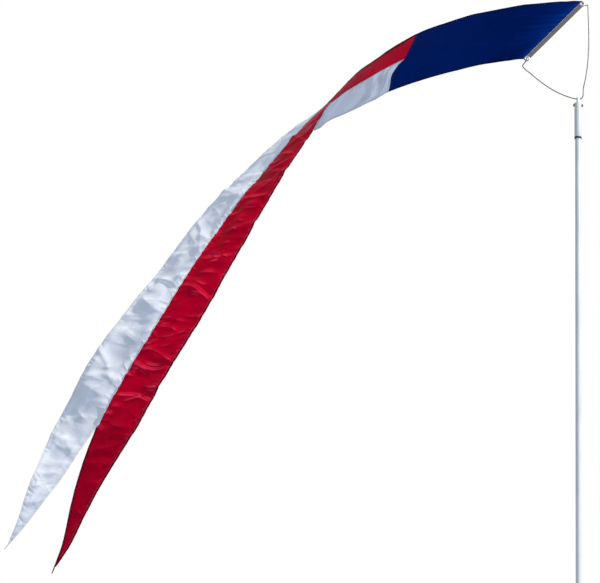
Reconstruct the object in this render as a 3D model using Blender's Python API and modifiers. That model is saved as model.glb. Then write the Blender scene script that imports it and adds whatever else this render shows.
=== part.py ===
"""Swallow-tail wind streamer on a two-section pole, with a swivelling wire bow at the head.

Metres, +Z up. The origin is the middle of the flat foot under the pole, +Z runs up the pole and
the streamer flies towards -X from a bow that lies in the XZ plane.
"""
import math

import bmesh
import bpy
import numpy as np
from mathutils import Matrix, Vector

# ------------------------------------------------------------------ driving dimensions (metres)
FIT = 0.0003                  # clearance between pieces that touch or seat on each other
ROUND_STEPS = 32              # facets round a tube
SMALL_STEPS = 20              # facets round a pin, a bolt or a grommet

POLE_OD = 0.01905
POLE_WALL = 0.0015
SECTION_LENGTH = 1.829        # each of the two pole sections
FERRULE_WALL = 0.0015
FERRULE_IN_LOWER = 0.100
FERRULE_IN_UPPER = 0.120

CAP_WALL = 0.002
CAP_FLOOR = 0.004             # rubber under the end of the tube
CAP_HEIGHT = 0.035

BUTTON_RADIUS = 0.003
BUTTON_RISE = 0.040           # of the button's axis above the joint
BUTTON_PROUD = 0.0030         # stands out of the upper tube at rest
BUTTON_FOOT_RADIUS = 0.0038
BUTTON_FOOT_THICKNESS = 0.0012
SPRING_THICKNESS = 0.0006
SPRING_WIDTH = 0.005
SPRING_DROP = 0.034           # the leaf hangs this far below the button

RIVET_RADIUS = 0.0016
RIVET_HEAD_RADIUS = 0.0030
RIVET_HEAD_HEIGHT = 0.0010
RIVET_DROP = 0.060            # below the joint

PLUG_DEPTH = 0.025
PLUG_FLANGE = 0.003
PIVOT_RADIUS = 0.0022
PIVOT_HEIGHT = 0.0055
WASHER_THICKNESS = 0.0010
WASHER_MARGIN = 0.0012        # washer's rim inside the plug's flange

SLEEVE_PLAY = 0.00078         # between the sleeve's bore and the pole that it turns on
SLEEVE_WALL = 0.0013
SLEEVE_LENGTH = 0.122
SLEEVE_LIP = 0.0020           # sleeve above the shoulder of the stem inside it
STOP_RING_HEIGHT = 0.0055
STOP_RING_MARGIN = 0.0003     # its rim outside the sleeve's

STEM_SHOULDER = 0.0150        # height of the stem's wide part, inside the sleeve
STEM_RADIUS = 0.0052
STEM_RISE = 0.0220            # top of the stem above the sleeve
EYE_DROP = 0.0065             # the eye's centre below the top of the stem

BOLT_RADIUS = 0.0025
BOLT_DROP = 0.0078            # the bolt's axis below the top of the sleeve
BOLT_FLATS = 0.0080
BOLT_HEAD = 0.0035
NUT_HEIGHT = 0.0040
BOLT_END = 0.0015             # thread past the nut

WIRE_RADIUS = 0.00175
WIRE_EYE_CLEARANCE = 0.0004
HOOK_PLAY = 0.0004            # left between each hook and the side of the grommet it bears on
BOW_BULGE_UPPER = 0.0150      # how far the upper arm bows out from its chord
BOW_BULGE_LOWER = 0.0155

STREAMER_WIDTH = 0.305
STREAMER_LENGTH = 2.740       # hoist to tail tips, laid flat
TAIL_LENGTH = 0.480           # of the split, laid flat
BLUE_LENGTH = 0.540           # of the blue panel, laid flat
GATHER = 0.95                 # share of a flat length left by the puckers
CLOTH_THICKNESS = 0.0010
TIP_WIDTH = 0.008
SEAM_GAP = 0.0007
PANEL_GAP = 0.0006            # along the length, between the blue panel and the stripes

HEADING_RISE = 0.2595         # centre of the heading above the top of the sleeve
HEADING_REACH = 0.0775        # and towards the streamer from the pole's axis
HEADING_LEAN = 40.8           # degrees from upright, its top end leaning back over the pole
HEADING_WIDTH = 0.014
HEADING_THICKNESS = 0.0024
HEADING_SEAM = 0.0005         # between the heading and the edge of the blue panel
GROMMET_MARGIN = 0.0105       # grommet's centre from the end of the heading
GROMMET_BORE = 0.0046         # at its waist
GROMMET_FLARE = 0.0003        # the bore opens by this much at the faces of the tape
GROMMET_MOUTH = 0.0010        # and by this much at its two mouths
GROMMET_BARREL = 0.0052
GROMMET_FLANGE = 0.0090
GROMMET_ROLL = 0.0064
GROMMET_METAL = 0.0005

# ------------------------------------------------------------------ places that follow from them
JOINT_Z = CAP_FLOOR + SECTION_LENGTH
POLE_TOP = JOINT_Z + FIT + SECTION_LENGTH
POLE_BORE = POLE_OD / 2 - POLE_WALL
FERRULE_OUTER = POLE_BORE - FIT
FERRULE_BORE = FERRULE_OUTER - FERRULE_WALL
BUTTON_Z = JOINT_Z + BUTTON_RISE
WASHER_Z = POLE_TOP + FIT + PLUG_FLANGE + FIT
STEM_Z = WASHER_Z + WASHER_THICKNESS + FIT
SLEEVE_TOP = STEM_Z + STEM_SHOULDER + SLEEVE_LIP
SLEEVE_BORE = POLE_OD / 2 + SLEEVE_PLAY
SLEEVE_OUTER = SLEEVE_BORE + SLEEVE_WALL
BOLT_Z = SLEEVE_TOP - BOLT_DROP
STEM_TOP = SLEEVE_TOP + STEM_RISE
EYE_Z = STEM_TOP - EYE_DROP

LEAN = math.radians(HEADING_LEAN)
ALONG_HEADING = np.array((math.sin(LEAN), 0.0, math.cos(LEAN)))      # lower grommet to upper
BEHIND_HEADING = np.array((math.cos(LEAN), 0.0, -math.sin(LEAN)))    # away from the streamer
HEADING_CENTRE = np.array((-HEADING_REACH, 0.0, SLEEVE_TOP + HEADING_RISE))
GROMMET_REACH = STREAMER_WIDTH / 2 - GROMMET_MARGIN
UPPER_GROMMET = HEADING_CENTRE + GROMMET_REACH * ALONG_HEADING
LOWER_GROMMET = HEADING_CENTRE - GROMMET_REACH * ALONG_HEADING

# The streamer's line down its middle, from the hoist to the split, as offsets from the hoist, and
# how each half stands out from it there. turn is degrees towards -Y, lean is degrees from upright
# in the XZ plane. share is how much of the half's flat width the gathers leave.
#   x      y       z      share  red turn, lean  white turn, lean
FLIGHT = (
    (0.000, 0.000, 0.000, 1.00, 0, HEADING_LEAN, 0, HEADING_LEAN),
    (-0.015, 0.000, -0.001, 0.99, 1, 41, 1, 41),
    (-0.060, 0.003, -0.005, 0.93, 17, 46, 16, 43),
    (-0.135, 0.008, -0.015, 0.90, 40, 48, 35, 43),
    (-0.250, 0.016, -0.040, 0.89, 57, 43, 43, 38),
    (-0.365, 0.023, -0.073, 0.88, 65, 40, 44, 33),
    (-0.490, 0.030, -0.121, 0.88, 73, 44, 47, 29),
    (-0.565, 0.032, -0.166, 0.88, 74, 51, 50, 30),
    (-0.630, 0.035, -0.212, 0.88, 73, 59, 51, 33),
    (-0.695, 0.037, -0.259, 0.88, 72, 68, 51, 38),
    (-0.722, 0.038, -0.284, 0.88, 71, 73, 50, 38),
    (-0.737, 0.038, -0.298, 0.88, 70, 76, 52, 46),
    (-0.753, 0.038, -0.312, 0.88, 69, 78, 64, 92),
    (-0.808, 0.037, -0.373, 0.88, 64, 86, 62, 104),
    (-0.857, 0.030, -0.441, 0.89, 58, 90, 58, 106),
    (-0.945, 0.015, -0.571, 0.91, 49, 92, 52, 107),
    (-1.053, -0.005, -0.743, 0.93, 37, 94, 47, 108),
    (-1.151, -0.025, -0.921, 0.94, 26, 94, 44, 107),
    (-1.237, -0.036, -1.104, 0.96, 25, 95, 32, 107),
    (-1.325, -0.018, -1.278, 0.98, 28, 95, 26, 107),
    (-1.407, 0.000, -1.455, 1.00, 30, 95, 30, 107),
)
# Each tail's inner edge, from the split to the tip, as offsets from the split, and its turn and
# lean.
RED_TAIL = (
    (0.000, 0.000, 0.000, 30, 95),
    (-0.025, 0.012, -0.085, 28, 95),
    (-0.046, 0.024, -0.171, 28, 95),
    (-0.060, 0.036, -0.258, 29, 96),
    (-0.072, 0.048, -0.346, 30, 100),
    (-0.097, 0.060, -0.435, 32, 104),
)
WHITE_TAIL = (
    (0.000, 0.000, 0.000, 30, 107),
    (-0.043, 0.012, -0.074, 29, 107),
    (-0.086, 0.024, -0.148, 27, 107),
    (-0.135, 0.036, -0.220, 26, 108),
    (-0.184, 0.048, -0.293, 24, 110),
    (-0.237, 0.060, -0.361, 22, 112),
)


# ------------------------------------------------------------------ scene and materials
def clear_scene():
    for old in list(bpy.data.objects):
        bpy.data.objects.remove(old, do_unlink=True)


def collection(name):
    made = bpy.data.collections.new(name)
    bpy.context.scene.collection.children.link(made)
    return made


def material(name, rgb, roughness, metallic=0.0):
    made = bpy.data.materials.new(name)
    made.use_nodes = True
    shader = made.node_tree.nodes["Principled BSDF"]
    shader.inputs["Base Color"].default_value = (*rgb, 1.0)
    shader.inputs["Roughness"].default_value = roughness
    shader.inputs["Metallic"].default_value = metallic
    return made


# ------------------------------------------------------------------ small modelling tools
def add_object(name, mesh, finish, group):
    made = bpy.data.objects.new(name, mesh)
    group.objects.link(made)
    if finish:
        mesh.materials.append(finish)
    return made


def add_solidify(obj, thickness):
    wall = obj.modifiers.new("Wall", "SOLIDIFY")
    wall.thickness = thickness
    wall.offset = 0.0
    return wall


def turned(name, profile, finish, group, steps=ROUND_STEPS, closed=True):
    """Turns a profile of (radius, height) points round Z: its outer side runs top to bottom."""
    mesh = bpy.data.meshes.new(name)
    count = len(profile)
    edges = [(i, i + 1) for i in range(count - 1)]
    if closed:
        edges.append((count - 1, 0))
    mesh.from_pydata([(r, 0.0, z) for r, z in profile], edges, [])
    made = add_object(name, mesh, finish, group)
    screw = made.modifiers.new("Turn", "SCREW")
    screw.steps = steps
    screw.render_steps = steps
    screw.use_merge_vertices = True
    screw.merge_threshold = 1e-5
    screw.use_smooth_shade = True
    return made


def tube(name, outer, inner, bottom, top, finish, group, steps=ROUND_STEPS):
    profile = [(outer, top), (outer, bottom), (inner, bottom), (inner, top)]
    return turned(name, profile, finish, group, steps)


def rod(name, radius, start, end, group, finish=None, steps=SMALL_STEPS):
    """A cylinder or prism between two points, as a mesh with its place applied."""
    start, end = Vector(start), Vector(end)
    mesh = bpy.data.meshes.new(name)
    work = bmesh.new()
    bmesh.ops.create_cone(work, cap_ends=True, segments=steps, radius1=radius, radius2=radius,
                          depth=(end - start).length)
    turn = (end - start).to_track_quat("Z", "Y").to_matrix().to_4x4()
    bmesh.ops.transform(work, matrix=Matrix.Translation((start + end) / 2) @ turn, verts=work.verts)
    work.to_mesh(mesh)
    work.free()
    return add_object(name, mesh, finish, group)


def combine(obj, cutter, operation="DIFFERENCE"):
    """Cuts obj with cutter, or joins them, and keeps the cutter as a hidden guide."""
    step = obj.modifiers.new(operation.title(), "BOOLEAN")
    step.operation = operation
    step.object = cutter
    step.solver = "EXACT"
    cutter.hide_render = True
    cutter.display_type = "WIRE"


def place(obj, matrix):
    obj.matrix_world = matrix
    return obj


def facing(point, toward):
    """A frame at point whose Z axis runs toward a direction."""
    return Matrix.Translation(Vector(point)) @ Vector(toward).to_track_quat("Z", "Y").to_matrix().to_4x4()


def smooth_path(rows, count):
    """Rows read at even distances from a Catmull-Rom curve through them, all columns at once.

    The first three columns are the place, and distance is measured on them.
    """
    rows = np.asarray(rows, float)
    knots = np.r_[0, np.cumsum(np.linalg.norm(np.diff(rows[:, :3], axis=0), axis=1))]
    slopes = np.gradient(rows, knots, axis=0)
    dense = np.linspace(0, knots[-1], 40 * len(rows))
    seg = np.clip(np.searchsorted(knots, dense, "right") - 1, 0, len(rows) - 2)
    width = (knots[seg + 1] - knots[seg])[:, None]
    t = ((dense - knots[seg]) / width[:, 0])[:, None]
    curve = ((2 * t**3 - 3 * t**2 + 1) * rows[seg] + (t**3 - 2 * t**2 + t) * width * slopes[seg]
             + (3 * t**2 - 2 * t**3) * rows[seg + 1] + (t**3 - t**2) * width * slopes[seg + 1])
    run = np.r_[0, np.cumsum(np.linalg.norm(np.diff(curve[:, :3], axis=0), axis=1))]
    even = np.linspace(0, run[-1], count)
    return np.stack([np.interp(even, run, column) for column in curve.T], axis=1), run[-1]


def stretched(rows, length):
    """Rows whose places are scaled about the first one until the path is that long."""
    rows = np.array(rows, float)
    rows[:, :3] *= length / smooth_path(rows, 2)[1]
    return rows


def outward(turn, lean):
    """Unit directions for a turn towards -Y and a lean from upright, both in degrees."""
    turn, lean = np.radians(turn), np.radians(lean)
    return np.stack([np.cos(turn) * np.sin(lean), -np.sin(turn), np.cos(turn) * np.cos(lean)], axis=-1)


# ------------------------------------------------------------------ pole
def make_pole(group, guides, finish):
    outer = POLE_OD / 2
    cap_outer = outer + FIT + CAP_WALL
    turned("butt_cap", [(0, CAP_FLOOR - FIT), (outer + FIT, CAP_FLOOR - FIT), (outer + FIT, CAP_HEIGHT),
                        (cap_outer, CAP_HEIGHT), (cap_outer, 0), (0, 0)],
           finish["rubber"], group, closed=False)
    lower = tube("lower_pole_tube", outer, POLE_BORE, CAP_FLOOR, JOINT_Z, finish["enamel"], group)
    upper = tube("upper_pole_tube", outer, POLE_BORE, JOINT_Z + FIT, POLE_TOP, finish["enamel"], group)
    ferrule = tube("joint_ferrule", FERRULE_OUTER, FERRULE_BORE, JOINT_Z - FERRULE_IN_LOWER,
                   JOINT_Z + FERRULE_IN_UPPER, finish["aluminium"], group)
    hole = rod("button_hole_guide", BUTTON_RADIUS + FIT, (0, -POLE_OD, BUTTON_Z), (0, 0, BUTTON_Z), guides)
    combine(upper, hole)
    combine(ferrule, hole)
    rivet_z = JOINT_Z - RIVET_DROP
    for side, name in ((-1, "ferrule_rivet_left"), (1, "ferrule_rivet_right")):
        drill = rod(name + "_guide", RIVET_RADIUS + FIT, (0, 0, rivet_z), (side * POLE_OD, 0, rivet_z), guides)
        combine(lower, drill)
        combine(ferrule, drill)
        make_rivet(name, side, rivet_z, group, finish["steel"])


def make_rivet(name, side, height, group, finish):
    """A dome head on the outside of the tube and a shank through tube and ferrule."""
    face = POLE_OD / 2 + FIT
    shank_end = FERRULE_BORE + FIT
    dome = [(RIVET_HEAD_RADIUS * math.cos(a), RIVET_HEAD_HEIGHT * math.sin(a))
            for a in np.radians((90, 60, 30, 0))]
    profile = dome + [(RIVET_RADIUS, 0), (RIVET_RADIUS, shank_end - face), (0, shank_end - face)]
    rivet = turned(name, profile, finish, group, SMALL_STEPS, closed=False)
    place(rivet, facing((side * face, 0, height), (side, 0, 0)))


def make_snap_button(group, finish):
    """A domed pin with a foot inside the ferrule, pressed out by a hairpin leaf spring."""
    foot_face = math.sqrt(FERRULE_BORE**2 - BUTTON_FOOT_RADIUS**2) - FIT
    tip = POLE_OD / 2 + BUTTON_PROUD
    dome = [(BUTTON_RADIUS * math.cos(a), tip - BUTTON_RADIUS * 0.6 * (1 - math.sin(a)))
            for a in np.radians((90, 60, 30, 0))]
    profile = dome + [(BUTTON_RADIUS, foot_face), (BUTTON_FOOT_RADIUS, foot_face),
                      (BUTTON_FOOT_RADIUS, foot_face - BUTTON_FOOT_THICKNESS),
                      (0, foot_face - BUTTON_FOOT_THICKNESS)]
    button = turned("snap_button", profile, finish["steel"], group, SMALL_STEPS, closed=False)
    place(button, facing((0, 0, BUTTON_Z), (0, -1, 0)))

    front = -(foot_face - BUTTON_FOOT_THICKNESS - FIT - SPRING_THICKNESS / 2)
    back = math.sqrt(FERRULE_BORE**2 - (SPRING_WIDTH / 2)**2) - FIT - SPRING_THICKNESS / 2
    bend = 0.0030                 # radius of the hairpin's bend, flattened a little sideways
    low = BUTTON_Z - SPRING_DROP
    line = [(front, BUTTON_Z + 0.004), (front, BUTTON_Z - 0.006), (-bend * 0.8, low + bend)]
    line += [(-bend * 0.8 * math.cos(a), low + bend - bend * math.sin(a)) for a in np.radians((45, 90, 135))]
    line += [(bend * 0.8, low + bend), (back, BUTTON_Z - 0.006), (back, BUTTON_Z + 0.004)]
    mesh = bpy.data.meshes.new("button_spring")
    half = SPRING_WIDTH / 2
    verts = [(x, y, z) for y, z in line for x in (-half, half)]
    faces = [(2 * i, 2 * i + 1, 2 * i + 3, 2 * i + 2) for i in range(len(line) - 1)]
    mesh.from_pydata(verts, [], faces)
    add_solidify(add_object("button_spring", mesh, finish["steel"], group), SPRING_THICKNESS)


def make_pole_top(group, finish):
    """The bearing plug in the top of the pole, and the washer that the head turns on."""
    flange_z = POLE_TOP + FIT
    shank = POLE_BORE - FIT
    top = flange_z + PLUG_FLANGE
    profile = [(0, top + PIVOT_HEIGHT), (PIVOT_RADIUS * 0.6, top + PIVOT_HEIGHT),
               (PIVOT_RADIUS, top + PIVOT_HEIGHT - 0.001), (PIVOT_RADIUS, top), (POLE_OD / 2, top),
               (POLE_OD / 2, flange_z), (shank, flange_z), (shank, POLE_TOP - PLUG_DEPTH),
               (0, POLE_TOP - PLUG_DEPTH)]
    turned("pole_top_plug", profile, finish["nylon"], group, closed=False)
    tube("thrust_washer", POLE_OD / 2 - WASHER_MARGIN, PIVOT_RADIUS + FIT, WASHER_Z,
         WASHER_Z + WASHER_THICKNESS, finish["steel"], group)
    ring_top = SLEEVE_TOP - SLEEVE_LENGTH - FIT
    tube("stop_ring", SLEEVE_OUTER + STOP_RING_MARGIN, POLE_OD / 2 + FIT, ring_top - STOP_RING_HEIGHT, ring_top,
         finish["rubber"], group)


# ------------------------------------------------------------------ swivelling head
def make_head(group, guides, finish):
    sleeve = tube("head_sleeve", SLEEVE_OUTER, SLEEVE_BORE, SLEEVE_TOP - SLEEVE_LENGTH, SLEEVE_TOP,
                  finish["enamel"], group)
    shoulder = SLEEVE_BORE - FIT
    socket = PIVOT_RADIUS + FIT
    socket_top = WASHER_Z - FIT + PIVOT_HEIGHT + FIT
    dome = [(STEM_RADIUS * math.cos(a), STEM_TOP - STEM_RADIUS * 0.5 * (1 - math.sin(a)))
            for a in np.radians((90, 60, 30, 0))]
    profile = dome + [(STEM_RADIUS, STEM_Z + STEM_SHOULDER), (shoulder, STEM_Z + STEM_SHOULDER),
                      (shoulder, STEM_Z), (socket, STEM_Z), (socket, socket_top), (0, socket_top)]
    stem = turned("wire_stem", profile, finish["nylon"], group, closed=False)
    across = SLEEVE_OUTER * 2
    bolt_hole = rod("bolt_hole_guide", BOLT_RADIUS + FIT, (-across, 0, BOLT_Z), (across, 0, BOLT_Z), guides)
    combine(sleeve, bolt_hole)
    combine(stem, bolt_hole)
    eye = rod("eye_guide", WIRE_RADIUS + WIRE_EYE_CLEARANCE, (-across, 0, EYE_Z), (across, 0, EYE_Z), guides)
    combine(stem, eye)
    make_bolt(group, guides, finish["steel"])


def make_bolt(group, guides, finish):
    """A hexagon bolt across the head: its head on the streamer's side and its nut on the other."""
    face = SLEEVE_OUTER + FIT
    corner = BOLT_FLATS / math.sqrt(3)
    end = face + NUT_HEIGHT + BOLT_END
    bolt = rod("cross_bolt", corner, (-face - BOLT_HEAD, 0, BOLT_Z), (-face, 0, BOLT_Z), group, finish, 6)
    shank = rod("shank_guide", BOLT_RADIUS, (-face - BOLT_HEAD / 2, 0, BOLT_Z), (end, 0, BOLT_Z), guides)
    combine(bolt, shank, "UNION")
    nut = rod("cross_nut", corner, (face, 0, BOLT_Z), (face + NUT_HEIGHT, 0, BOLT_Z), group, finish, 6)
    thread = rod("thread_guide", BOLT_RADIUS + FIT, (0, 0, BOLT_Z), (2 * face, 0, BOLT_Z), guides)
    combine(nut, thread)


def bow_arm(start, end, bulge, out):
    """Points on a springy arm: its chord, pushed out most just before the middle."""
    start, end, out = np.asarray(start), np.asarray(end), np.asarray(out)
    steps = np.linspace(0.12, 1.0, 8)
    return [tuple(start + (end - start) * t + out * bulge * math.sin(math.pi * t**0.8)) for t in steps]


def hook(grommet, offsets):
    """Points given as distances along the heading, behind it, and towards +Y, from a grommet."""
    back = np.array((0.0, 1.0, 0.0))
    return [tuple(grommet + a * ALONG_HEADING + b * BEHIND_HEADING + c * back) for a, b, c in offsets]


def make_bow(group, finish):
    """One wire: hook, upper arm, through the stem's eye, lower arm, hook."""
    lap = WIRE_RADIUS + GROMMET_FLANGE + 0.0028       # how far behind the grommet the hooks lie
    seat = GROMMET_BORE - WIRE_RADIUS - HOOK_PLAY     # the spring holds each hook against the bore
    through = [(seat, 0.0, 0.0095), (seat, 0.0, 0.003), (seat, 0.0, -0.003), (seat, 0.0, -0.0085)]
    lower_through = [(-a, b, c) for a, b, c in through]
    upper_hook = hook(UPPER_GROMMET, [(0.0075, 0.0195, 0.001), (0.0125, 0.0125, 0.0065),
                                      (0.0095, 0.0050, lap - 0.001), (0.0050, 0.0014, lap)] + through)
    lower_hook = hook(LOWER_GROMMET, [(-0.0285, 0.0062, 0.003), (-0.0205, 0.0036, 0.0095),
                                      (-0.0120, 0.0018, lap - 0.0005), (-0.0055, 0.0006, lap)]
                      + lower_through)
    upper_end = hook(UPPER_GROMMET, [(-0.0019, 0.0276, 0.0)])[0]
    lower_end = hook(LOWER_GROMMET, [(-0.0330, 0.0135, 0.0)])[0]
    straight = STEM_RADIUS + 0.0008
    upper_start = (straight + 0.0010, 0.0, EYE_Z + 0.0020)
    lower_start = (-straight - 0.0010, 0.0, EYE_Z + 0.0004)
    upper_arm = bow_arm(upper_start, upper_end, BOW_BULGE_UPPER, (1.0, 0.0, 0.0))
    lower_arm = bow_arm(lower_start, lower_end, BOW_BULGE_LOWER, (-0.52, 0.0, -0.85))
    knots = upper_hook[::-1] + upper_arm[::-1]
    knots += [(straight + 0.0052, 0.0, EYE_Z + 0.0030), (straight, 0.0, EYE_Z), (0.0, 0.0, EYE_Z),
              (-straight, 0.0, EYE_Z)]
    knots += lower_arm + lower_hook
    points = smooth_path(knots, 130)[0]
    curve = bpy.data.curves.new("bow_wire", "CURVE")
    curve.dimensions = "3D"
    curve.bevel_depth = WIRE_RADIUS
    curve.bevel_resolution = 2
    curve.use_fill_caps = True
    line = curve.splines.new("POLY")
    line.points.add(len(points) - 1)
    line.points.foreach_set("co", np.c_[points, np.ones(len(points))].ravel())
    curve.materials.append(finish["steel"])
    group.objects.link(bpy.data.objects.new("bow_wire", curve))


# ------------------------------------------------------------------ heading and grommets
def make_heading(group, guides, finish):
    """The webbing along the hoist, with a hole for each grommet."""
    mesh = bpy.data.meshes.new("heading_tape")
    work = bmesh.new()
    bmesh.ops.create_cube(work, size=1.0)
    size = Matrix.Diagonal((HEADING_WIDTH, HEADING_THICKNESS, STREAMER_WIDTH, 1.0))
    lean = Matrix.Rotation(LEAN, 4, "Y")
    middle = Matrix.Translation(Vector(HEADING_CENTRE))
    bmesh.ops.transform(work, matrix=middle @ lean @ size, verts=work.verts)
    work.to_mesh(mesh)
    work.free()
    tape = add_object("heading_tape", mesh, finish["webbing"], group)
    for name, spot in (("upper_grommet", UPPER_GROMMET), ("lower_grommet", LOWER_GROMMET)):
        reach = Vector((0, HEADING_THICKNESS * 2, 0))
        start, end = Vector(spot) - reach, Vector(spot) + reach
        combine(tape, rod(name + "_guide", GROMMET_BARREL + FIT, start, end, guides))
        make_grommet(name, spot, group, finish["brass"])


def make_grommet(name, spot, group, finish):
    """An eyelet, whose barrel goes through the tape and is rolled over a washer behind it."""
    near = HEADING_THICKNESS / 2 + FIT
    washer_back = near + GROMMET_METAL
    roll = washer_back + FIT
    frame = facing(spot, (0, 1, 0))
    waist = HEADING_THICKNESS / 6
    eyelet = [(GROMMET_ROLL, roll + GROMMET_METAL), (GROMMET_ROLL, roll), (GROMMET_BARREL, roll),
              (GROMMET_BARREL, -near), (GROMMET_FLANGE, -near), (GROMMET_FLANGE, -near - GROMMET_METAL),
              (GROMMET_BORE + GROMMET_MOUTH, -near - GROMMET_METAL), (GROMMET_BORE + GROMMET_FLARE, -near),
              (GROMMET_BORE, -waist), (GROMMET_BORE, waist), (GROMMET_BORE + GROMMET_FLARE, roll),
              (GROMMET_BORE + GROMMET_MOUTH, roll + GROMMET_METAL)]
    place(turned(name + "_eyelet", eyelet, finish, group, SMALL_STEPS), frame)
    inner = GROMMET_BARREL + FIT
    place(tube(name + "_washer", GROMMET_FLANGE, inner, near, washer_back, finish, group, SMALL_STEPS), frame)


# ------------------------------------------------------------------ cloth
def cloth(name, rows, finish, group):
    """A grid of points, as rows across the streamer, given a thin wall."""
    rows = np.asarray(rows)
    along, across = rows.shape[:2]
    index = np.arange(along * across).reshape(along, across)
    faces = np.stack([index[:-1, :-1], index[:-1, 1:], index[1:, 1:], index[1:, :-1]], axis=-1)
    mesh = bpy.data.meshes.new(name)
    mesh.from_pydata(rows.reshape(-1, 3).tolist(), [], faces.reshape(-1, 4).tolist())
    mesh.shade_smooth()
    add_solidify(add_object(name, mesh, finish, group), CLOTH_THICKNESS)


def flight_rows(count):
    """The stations from the hoist to the split, at even distances, as places in the world."""
    hoist = HEADING_CENTRE - (HEADING_WIDTH / 2 + HEADING_SEAM) * BEHIND_HEADING
    body = (STREAMER_LENGTH - TAIL_LENGTH) * GATHER
    rows, _ = smooth_path(stretched(FLIGHT, body), count)
    rows[:, :3] += hoist
    return rows, body


def half_edge(rows, red):
    """The outer edge of one half of the streamer."""
    half = STREAMER_WIDTH / 2 * rows[:, 3:4]
    side = outward(rows[:, 4], rows[:, 5]) if red else -outward(rows[:, 6], rows[:, 7])
    return side, half


def tail_rows(table, split, red, count):
    rows, _ = smooth_path(stretched(table, TAIL_LENGTH * GATHER), count)
    inner = rows[:, :3] + split
    side = outward(rows[:, 3], rows[:, 4]) * (1 if red else -1)
    fade = np.linspace(1, 0, count)[:, None]
    width = TIP_WIDTH + (STREAMER_WIDTH / 2 - TIP_WIDTH) * fade
    return inner, side, width


def make_streamer(group, finish):
    rows, body = flight_rows(90)
    blue_share = BLUE_LENGTH * GATHER / body
    distance = np.linspace(0, 1, len(rows))

    def cut(low, high, count):
        """The stations between two shares of the length."""
        picks = np.linspace(low, high, count)
        return np.stack([np.interp(picks, distance, column) for column in rows.T], axis=1)

    gap = PANEL_GAP / body
    blue = cut(0, blue_share, 24)
    red_side, red_half = half_edge(blue, True)
    white_side, white_half = half_edge(blue, False)
    shares = (1.0, 0.5)
    grid = [blue[:, :3] + red_side * red_half * s for s in shares] + [blue[:, :3]]
    grid += [blue[:, :3] + white_side * white_half * s for s in shares[::-1]]
    cloth("blue_panel", np.stack(grid, axis=1), finish["blue"], group)

    stripes = cut(blue_share + gap, 1, 66)
    for name, red, table, colour in (("red_stripe", True, RED_TAIL, "red"),
                                     ("white_stripe", False, WHITE_TAIL, "white")):
        side, half = half_edge(stripes, red)
        inner, tail_side, tail_half = tail_rows(table, rows[-1, :3], red, 16)
        middle = np.concatenate([stripes[:, :3], inner[1:]])
        side = np.concatenate([side, tail_side[1:]])
        half = np.concatenate([half, tail_half[1:]])
        start = middle + side * SEAM_GAP / 2
        steps = [start + side * (half - SEAM_GAP / 2) * s for s in (0.0, 0.5, 1.0)]
        if red:
            steps = steps[::-1]
        cloth(name, np.stack(steps, axis=1), finish[colour], group)


def main():
    clear_scene()
    group = collection("wind_streamer")
    guides = collection("guides")
    finish = {
        "enamel": material("white_enamel", (0.80, 0.81, 0.83), 0.35),
        "aluminium": material("mill_aluminium", (0.70, 0.70, 0.72), 0.40, 1.0),
        "steel": material("bright_steel", (0.42, 0.43, 0.45), 0.35, 1.0),
        "nylon": material("white_nylon", (0.82, 0.83, 0.84), 0.45),
        "rubber": material("black_rubber", (0.03, 0.03, 0.03), 0.75),
        "brass": material("nickelled_brass", (0.75, 0.74, 0.72), 0.30, 1.0),
        "webbing": material("grey_webbing", (0.16, 0.14, 0.14), 0.80),
        "blue": material("navy_nylon", (0.004, 0.012, 0.14), 0.45),
        "red": material("red_nylon", (0.42, 0.0, 0.02), 0.45),
        "white": material("white_satin_nylon", (0.70, 0.73, 0.82), 0.45),
    }
    make_pole(group, guides, finish)
    make_snap_button(group, finish)
    make_pole_top(group, finish)
    make_head(group, guides, finish)
    make_bow(group, finish)
    make_heading(group, guides, finish)
    make_streamer(group, finish)


main()
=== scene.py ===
"""Finished surfaces of a swallow-tail wind streamer on its pole, made round a fixed frame.

Metres, +Z up. The pole stands on the origin, the wire bow lies in the XZ plane and the streamer
flies towards -X. Every piece keeps its place in its mesh, so every object stands at the origin.
"""
import math

import bmesh
import bpy
import numpy as np
from bpy.props import FloatProperty, FloatVectorProperty, IntProperty, PointerProperty
from mathutils import Matrix, Vector


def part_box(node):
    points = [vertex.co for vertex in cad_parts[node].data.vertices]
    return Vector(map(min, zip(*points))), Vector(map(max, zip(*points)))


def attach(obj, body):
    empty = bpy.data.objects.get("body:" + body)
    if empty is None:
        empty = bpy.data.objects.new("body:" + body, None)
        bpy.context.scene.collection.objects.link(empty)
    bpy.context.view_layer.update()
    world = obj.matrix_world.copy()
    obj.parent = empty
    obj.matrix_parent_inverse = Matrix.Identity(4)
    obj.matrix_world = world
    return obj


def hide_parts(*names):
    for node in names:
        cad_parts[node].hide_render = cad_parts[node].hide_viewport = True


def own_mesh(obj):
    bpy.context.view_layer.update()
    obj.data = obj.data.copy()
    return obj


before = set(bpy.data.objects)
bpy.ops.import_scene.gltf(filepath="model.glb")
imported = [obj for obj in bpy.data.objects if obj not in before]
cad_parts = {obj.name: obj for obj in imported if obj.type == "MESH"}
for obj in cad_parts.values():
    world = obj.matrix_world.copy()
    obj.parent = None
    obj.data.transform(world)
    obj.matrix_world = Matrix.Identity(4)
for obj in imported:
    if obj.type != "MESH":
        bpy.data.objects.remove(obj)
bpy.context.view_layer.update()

bl_info = {
    "name": "Wind Streamer",
    "version": (1, 0, 0),
    "blender": (4, 5, 0),
    "location": "3D View > Sidebar > Wind Streamer",
    "description": "Makes the finished surfaces of a swallow-tail wind streamer on a pole",
    "category": "Add Mesh",
}

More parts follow.
